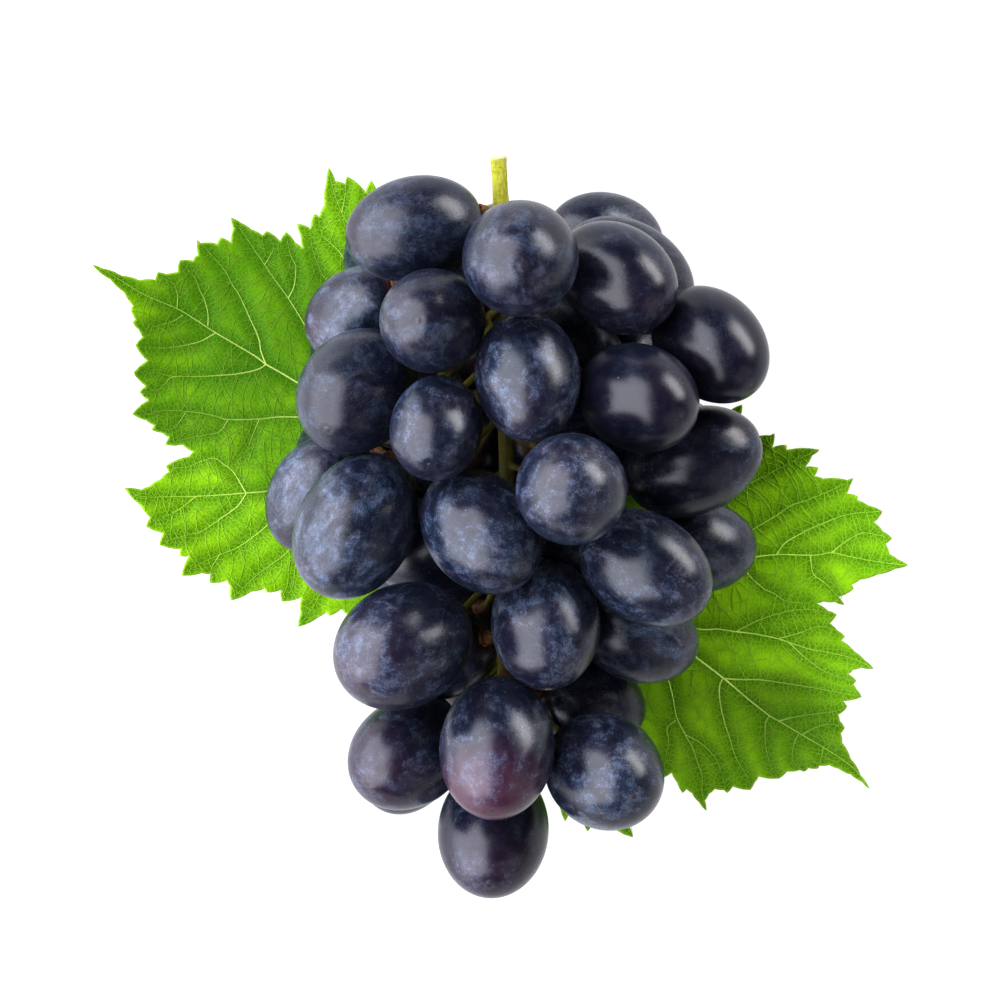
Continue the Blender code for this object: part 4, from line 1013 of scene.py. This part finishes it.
def build_leaf_material():
    """The blade of the leaves."""
    material, tree, shader = new_material("leaf_green", 0.50, 0.08)
    spot = object_place(tree)
    under = marked(tree, "leaf_under")
    fleck = mottle(tree, spot, *LEAF_FLECKS)
    colour = tint(tree, mottle(tree, spot, *LEAF_CLOUDS), LEAF_MIDDLE, LEAF_BRIGHT)
    # Painted shade beside the veins, where the blade dips between its pillows
    colour = tint(tree, ramp(tree, marked(tree, "leaf_vein"), *SHADE_BESIDE_VEINS), colour, LEAF_DEEP)
    colour = tint(tree, times(tree, fleck, FLECK_SHARE), colour, LEAF_DEEP)
    warp = put(tree, "ShaderNodeTexNoise", {"Vector": spot, "Scale": NET_WARP_SCALE, "Detail": 2.0})
    bent = aim(tree, "MULTIPLY_ADD", warp.outputs["Color"], (NET_WARP,) * 3, spot)
    net = put(tree, "ShaderNodeTexVoronoi", {"Vector": bent, "Scale": NET_SCALE},
              feature="DISTANCE_TO_EDGE", voronoi_dimensions="2D").outputs["Distance"]
    colour = tint(tree, times(tree, ramp(tree, net, *ON_NET), NET_SHARE), colour, LEAF_NET)
    # Painted light and shade: each lobe is darkened towards LEAF_SHADE, or brightened past its green, by
    # its listed share
    lobe = marked(tree, "leaf_painted_light")
    colour = tint(tree, lobe, LEAF_SHADE, colour)
    colour = stretched(tree, colour, work(tree, "MAXIMUM", lobe, 1.0))
    colour = tint(tree, ramp(tree, marked(tree, "leaf_rim"), *AT_RIM), colour, LEAF_RIM)
    colour = tint(tree, times(tree, under, UNDER_SHARE), colour, LEAF_UNDER)
    tree.links.new(colour, shader.inputs["Base Color"])
    rough = scaled(tree, fleck, ROUGH_BY_FLECKS, LEAF_ROUGH)
    tree.links.new(scaled(tree, under, ROUGH_UNDER, rough), shader.inputs["Roughness"])
    roughen(tree, shader, scaled(tree, fleck, FLECK_RELIEF, ramp(tree, net, *IN_NET)), 0.40, LEAF_RELIEF)
    return material


def build_vein_material(name, pale, green):
    """The pale ridges on a leaf."""
    material, tree, shader = new_material(name, 0.50, 0.18)
    tone = mottle(tree, object_place(tree), *VEIN_CLOUDS)
    thick = ramp(tree, marked(tree, "width"), PALE_WIDTH[0] * MM, PALE_WIDTH[1] * MM)
    colour = tint(tree, times(tree, thick, partly(tree, tone, PALE_SHARE)), green, pale)
    # The veins take the painted light and shade of their lobe
    colour = stretched(tree, colour, work(tree, "MAXIMUM", marked(tree, "leaf_painted_light"), LEAST_PAINTED_LIGHT))
    tree.links.new(colour, shader.inputs["Base Color"])
    tree.links.new(scaled(tree, tone, ROUGH_BY_FLECKS, VEIN_ROUGH), shader.inputs["Roughness"])
    return material


leaf_green = build_leaf_material()
vein_pale = build_vein_material("leaf_veins", VEIN_PALE, VEIN_GREEN)
net_green = build_vein_material("leaf_net", LEAF_NET, LEAF_FINE)
vein_tree = build_vein_tree()
leaf_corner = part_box("leaf_left")[0] / MM
moved = np.array([leaf_corner.x - min(p[0] for p in LEFT_OUTLINE),
                  leaf_corner.y - min(p[1] for p in LEFT_OUTLINE)])
for side, outline, junction, phase, vein_list, light_spots, seed in (
    ("left", LEFT_OUTLINE, LEFT_JUNCTION, 0.6, LEFT_VEINS, LEFT_PAINTED_LIGHT, 3),
    ("right", RIGHT_OUTLINE, RIGHT_JUNCTION, 2.2, RIGHT_VEINS, RIGHT_PAINTED_LIGHT, 4),
):
    edge = margin(outline) + moved
    middle = np.array(junction) + moved
    veins = [smooth_way(points, VEIN_STEP) + moved for _, points in vein_list]
    main = [(width, line) for (width, _), line in zip(vein_list, veins)]
    blade = make_blade("leaf_blade_" + side, edge, middle, phase, veins, light_spots, leaf_green)
    settle_piece(blade, "leaf_blade", "leaf_" + side)
    ribs = lay_veins("leaf_veins_" + side, vein_tree, main, middle, phase, veins, light_spots, 8, vein_pale)
    settle_piece(ribs, "leaf_blade")
    fine = cross_veins(veins, edge, seed)
    net = lay_veins("leaf_net_" + side, vein_tree, fine, middle, phase, veins, light_spots, 5, net_green)
    settle_piece(net, "leaf_blade")


# The studio: a pale floor under the bunch that glows white, brighter to the left as
# painted light, with a painted shadow where its glow fades out under the bunch; a large
# soft light on the left, a smaller one at the upper right, a dim one at the lower right
# and pale walls all round.
FLOOR_SIZE = 6.0
CAMERA_HEIGHT, FOCUS_HEIGHT = 7.0, 0.038
PRINT_CONTRAST = 0.78
VIEW_WIDTH = 0.200
VIEW_CENTRE = (0.0, 5.8)
# The painted shadow on the floor: its middle, its reach across and along, and where its edge fades
BUNCH_MIDDLE = (0.003, 0.008, 0.0)
BUNCH_SPREAD = (0.036, 0.058, 1.0)
PAINTED_SHADOW_EDGE = (0.78, 1.02)
FLOOR_GREY = 0.08
# Painted light: the floor glows brighter to the left, standing in for light bounced off it
FLOOR_GLOW = (-0.16, -0.04, 2.4, 0.95)
WALL_GLOW = (0.0, 0.6, 0.12, 0.08)
WHITE = (1.0, 1.0, 1.0, 1.0)
# Each light: degrees off straight up, heading, distance, size, watts and colour
LIGHTS = {
    "left_window": (50, 178, 1.1, (3.00, 1.80), 110.0, (0.97, 0.98, 1.04)),
    "upper_right_strip": (72, 40, 1.1, (0.90, 0.50), 15.0, (1.0, 0.99, 0.98)),
    "lower_right_fill": (62, -38, 1.3, (1.1, 1.1), 3.2, (1.0, 0.98, 1.0)),
}


for light, (off_up, heading, distance, size, watts, colour) in LIGHTS.items():
    panel = bpy.data.lights.new(light, "AREA")
    panel.shape = "RECTANGLE"
    panel.size, panel.size_y = size
    panel.energy = watts
    panel.color = colour
    slope, round_way = math.radians(off_up), math.radians(heading)
    away = Vector((math.sin(slope) * math.cos(round_way), math.sin(slope) * math.sin(round_way),
                   math.cos(slope)))
    lamp = bpy.data.objects.new(light, panel)
    lamp.location = away * distance
    lamp.rotation_euler = away.to_track_quat("Z", "Y").to_euler()
    lamp.visible_camera = False
    show(lamp)

floor_mesh = bpy.data.meshes.new("floor")
half = FLOOR_SIZE / 2
floor_mesh.from_pydata([(-half, -half, 0), (half, -half, 0), (half, half, 0), (-half, half, 0)],
                       [], [(0, 1, 2, 3)])
floor = bpy.data.objects.new("floor", floor_mesh)
show(floor)
floor_white, floor_tree, floor_shader = new_material("floor_white", 0.9, 0.1)
floor_shader.inputs["Base Color"].default_value = (FLOOR_GREY, FLOOR_GREY, FLOOR_GREY, 1.0)
floor_shader.inputs["Emission Color"].default_value = WHITE
floor_spot = put(floor_tree, "ShaderNodeTexCoord").outputs["Object"]
from_bunch = aim(floor_tree, "SUBTRACT", floor_spot, BUNCH_MIDDLE)
from_bunch = aim(floor_tree, "DIVIDE", from_bunch, BUNCH_SPREAD)
covered = put(floor_tree, "ShaderNodeVectorMath", {0: from_bunch}, operation="LENGTH").outputs["Value"]
# Painted shadow: the floor's glow fades out under the bunch
unshadowed_share = ramp(floor_tree, covered, *PAINTED_SHADOW_EDGE)
across, _, _ = put(floor_tree, "ShaderNodeSeparateXYZ", [floor_spot]).outputs
glow = times(floor_tree, ramp(floor_tree, across, *FLOOR_GLOW), unshadowed_share)
floor_tree.links.new(glow, floor_shader.inputs["Emission Strength"])
floor_mesh.materials.append(floor_white)

world = bpy.data.worlds.new("studio")
bpy.context.scene.world = world
world.use_nodes = True
sky = world.node_tree
sky_way = put(sky, "ShaderNodeTexCoord").outputs["Generated"]
_, _, upward = put(sky, "ShaderNodeSeparateXYZ", [sky_way]).outputs
sky_shader = sky.nodes["Background"]
sky_shader.inputs["Color"].default_value = WHITE
sky.links.new(ramp(sky, upward, *WALL_GLOW), sky_shader.inputs["Strength"])

lens = bpy.data.cameras.new("camera")
lens.lens = lens.sensor_width * (CAMERA_HEIGHT - FOCUS_HEIGHT) / VIEW_WIDTH
lens.clip_end = 3 * CAMERA_HEIGHT
camera = bpy.data.objects.new("camera", lens)
camera.location = ((VIEW_CENTRE[0] + moved[0]) * MM, (VIEW_CENTRE[1] + moved[1]) * MM, CAMERA_HEIGHT)
show(camera)
bpy.context.scene.camera = camera
bpy.context.scene.view_settings.view_transform = "Standard"
bpy.context.scene.view_settings.gamma = PRINT_CONTRAST
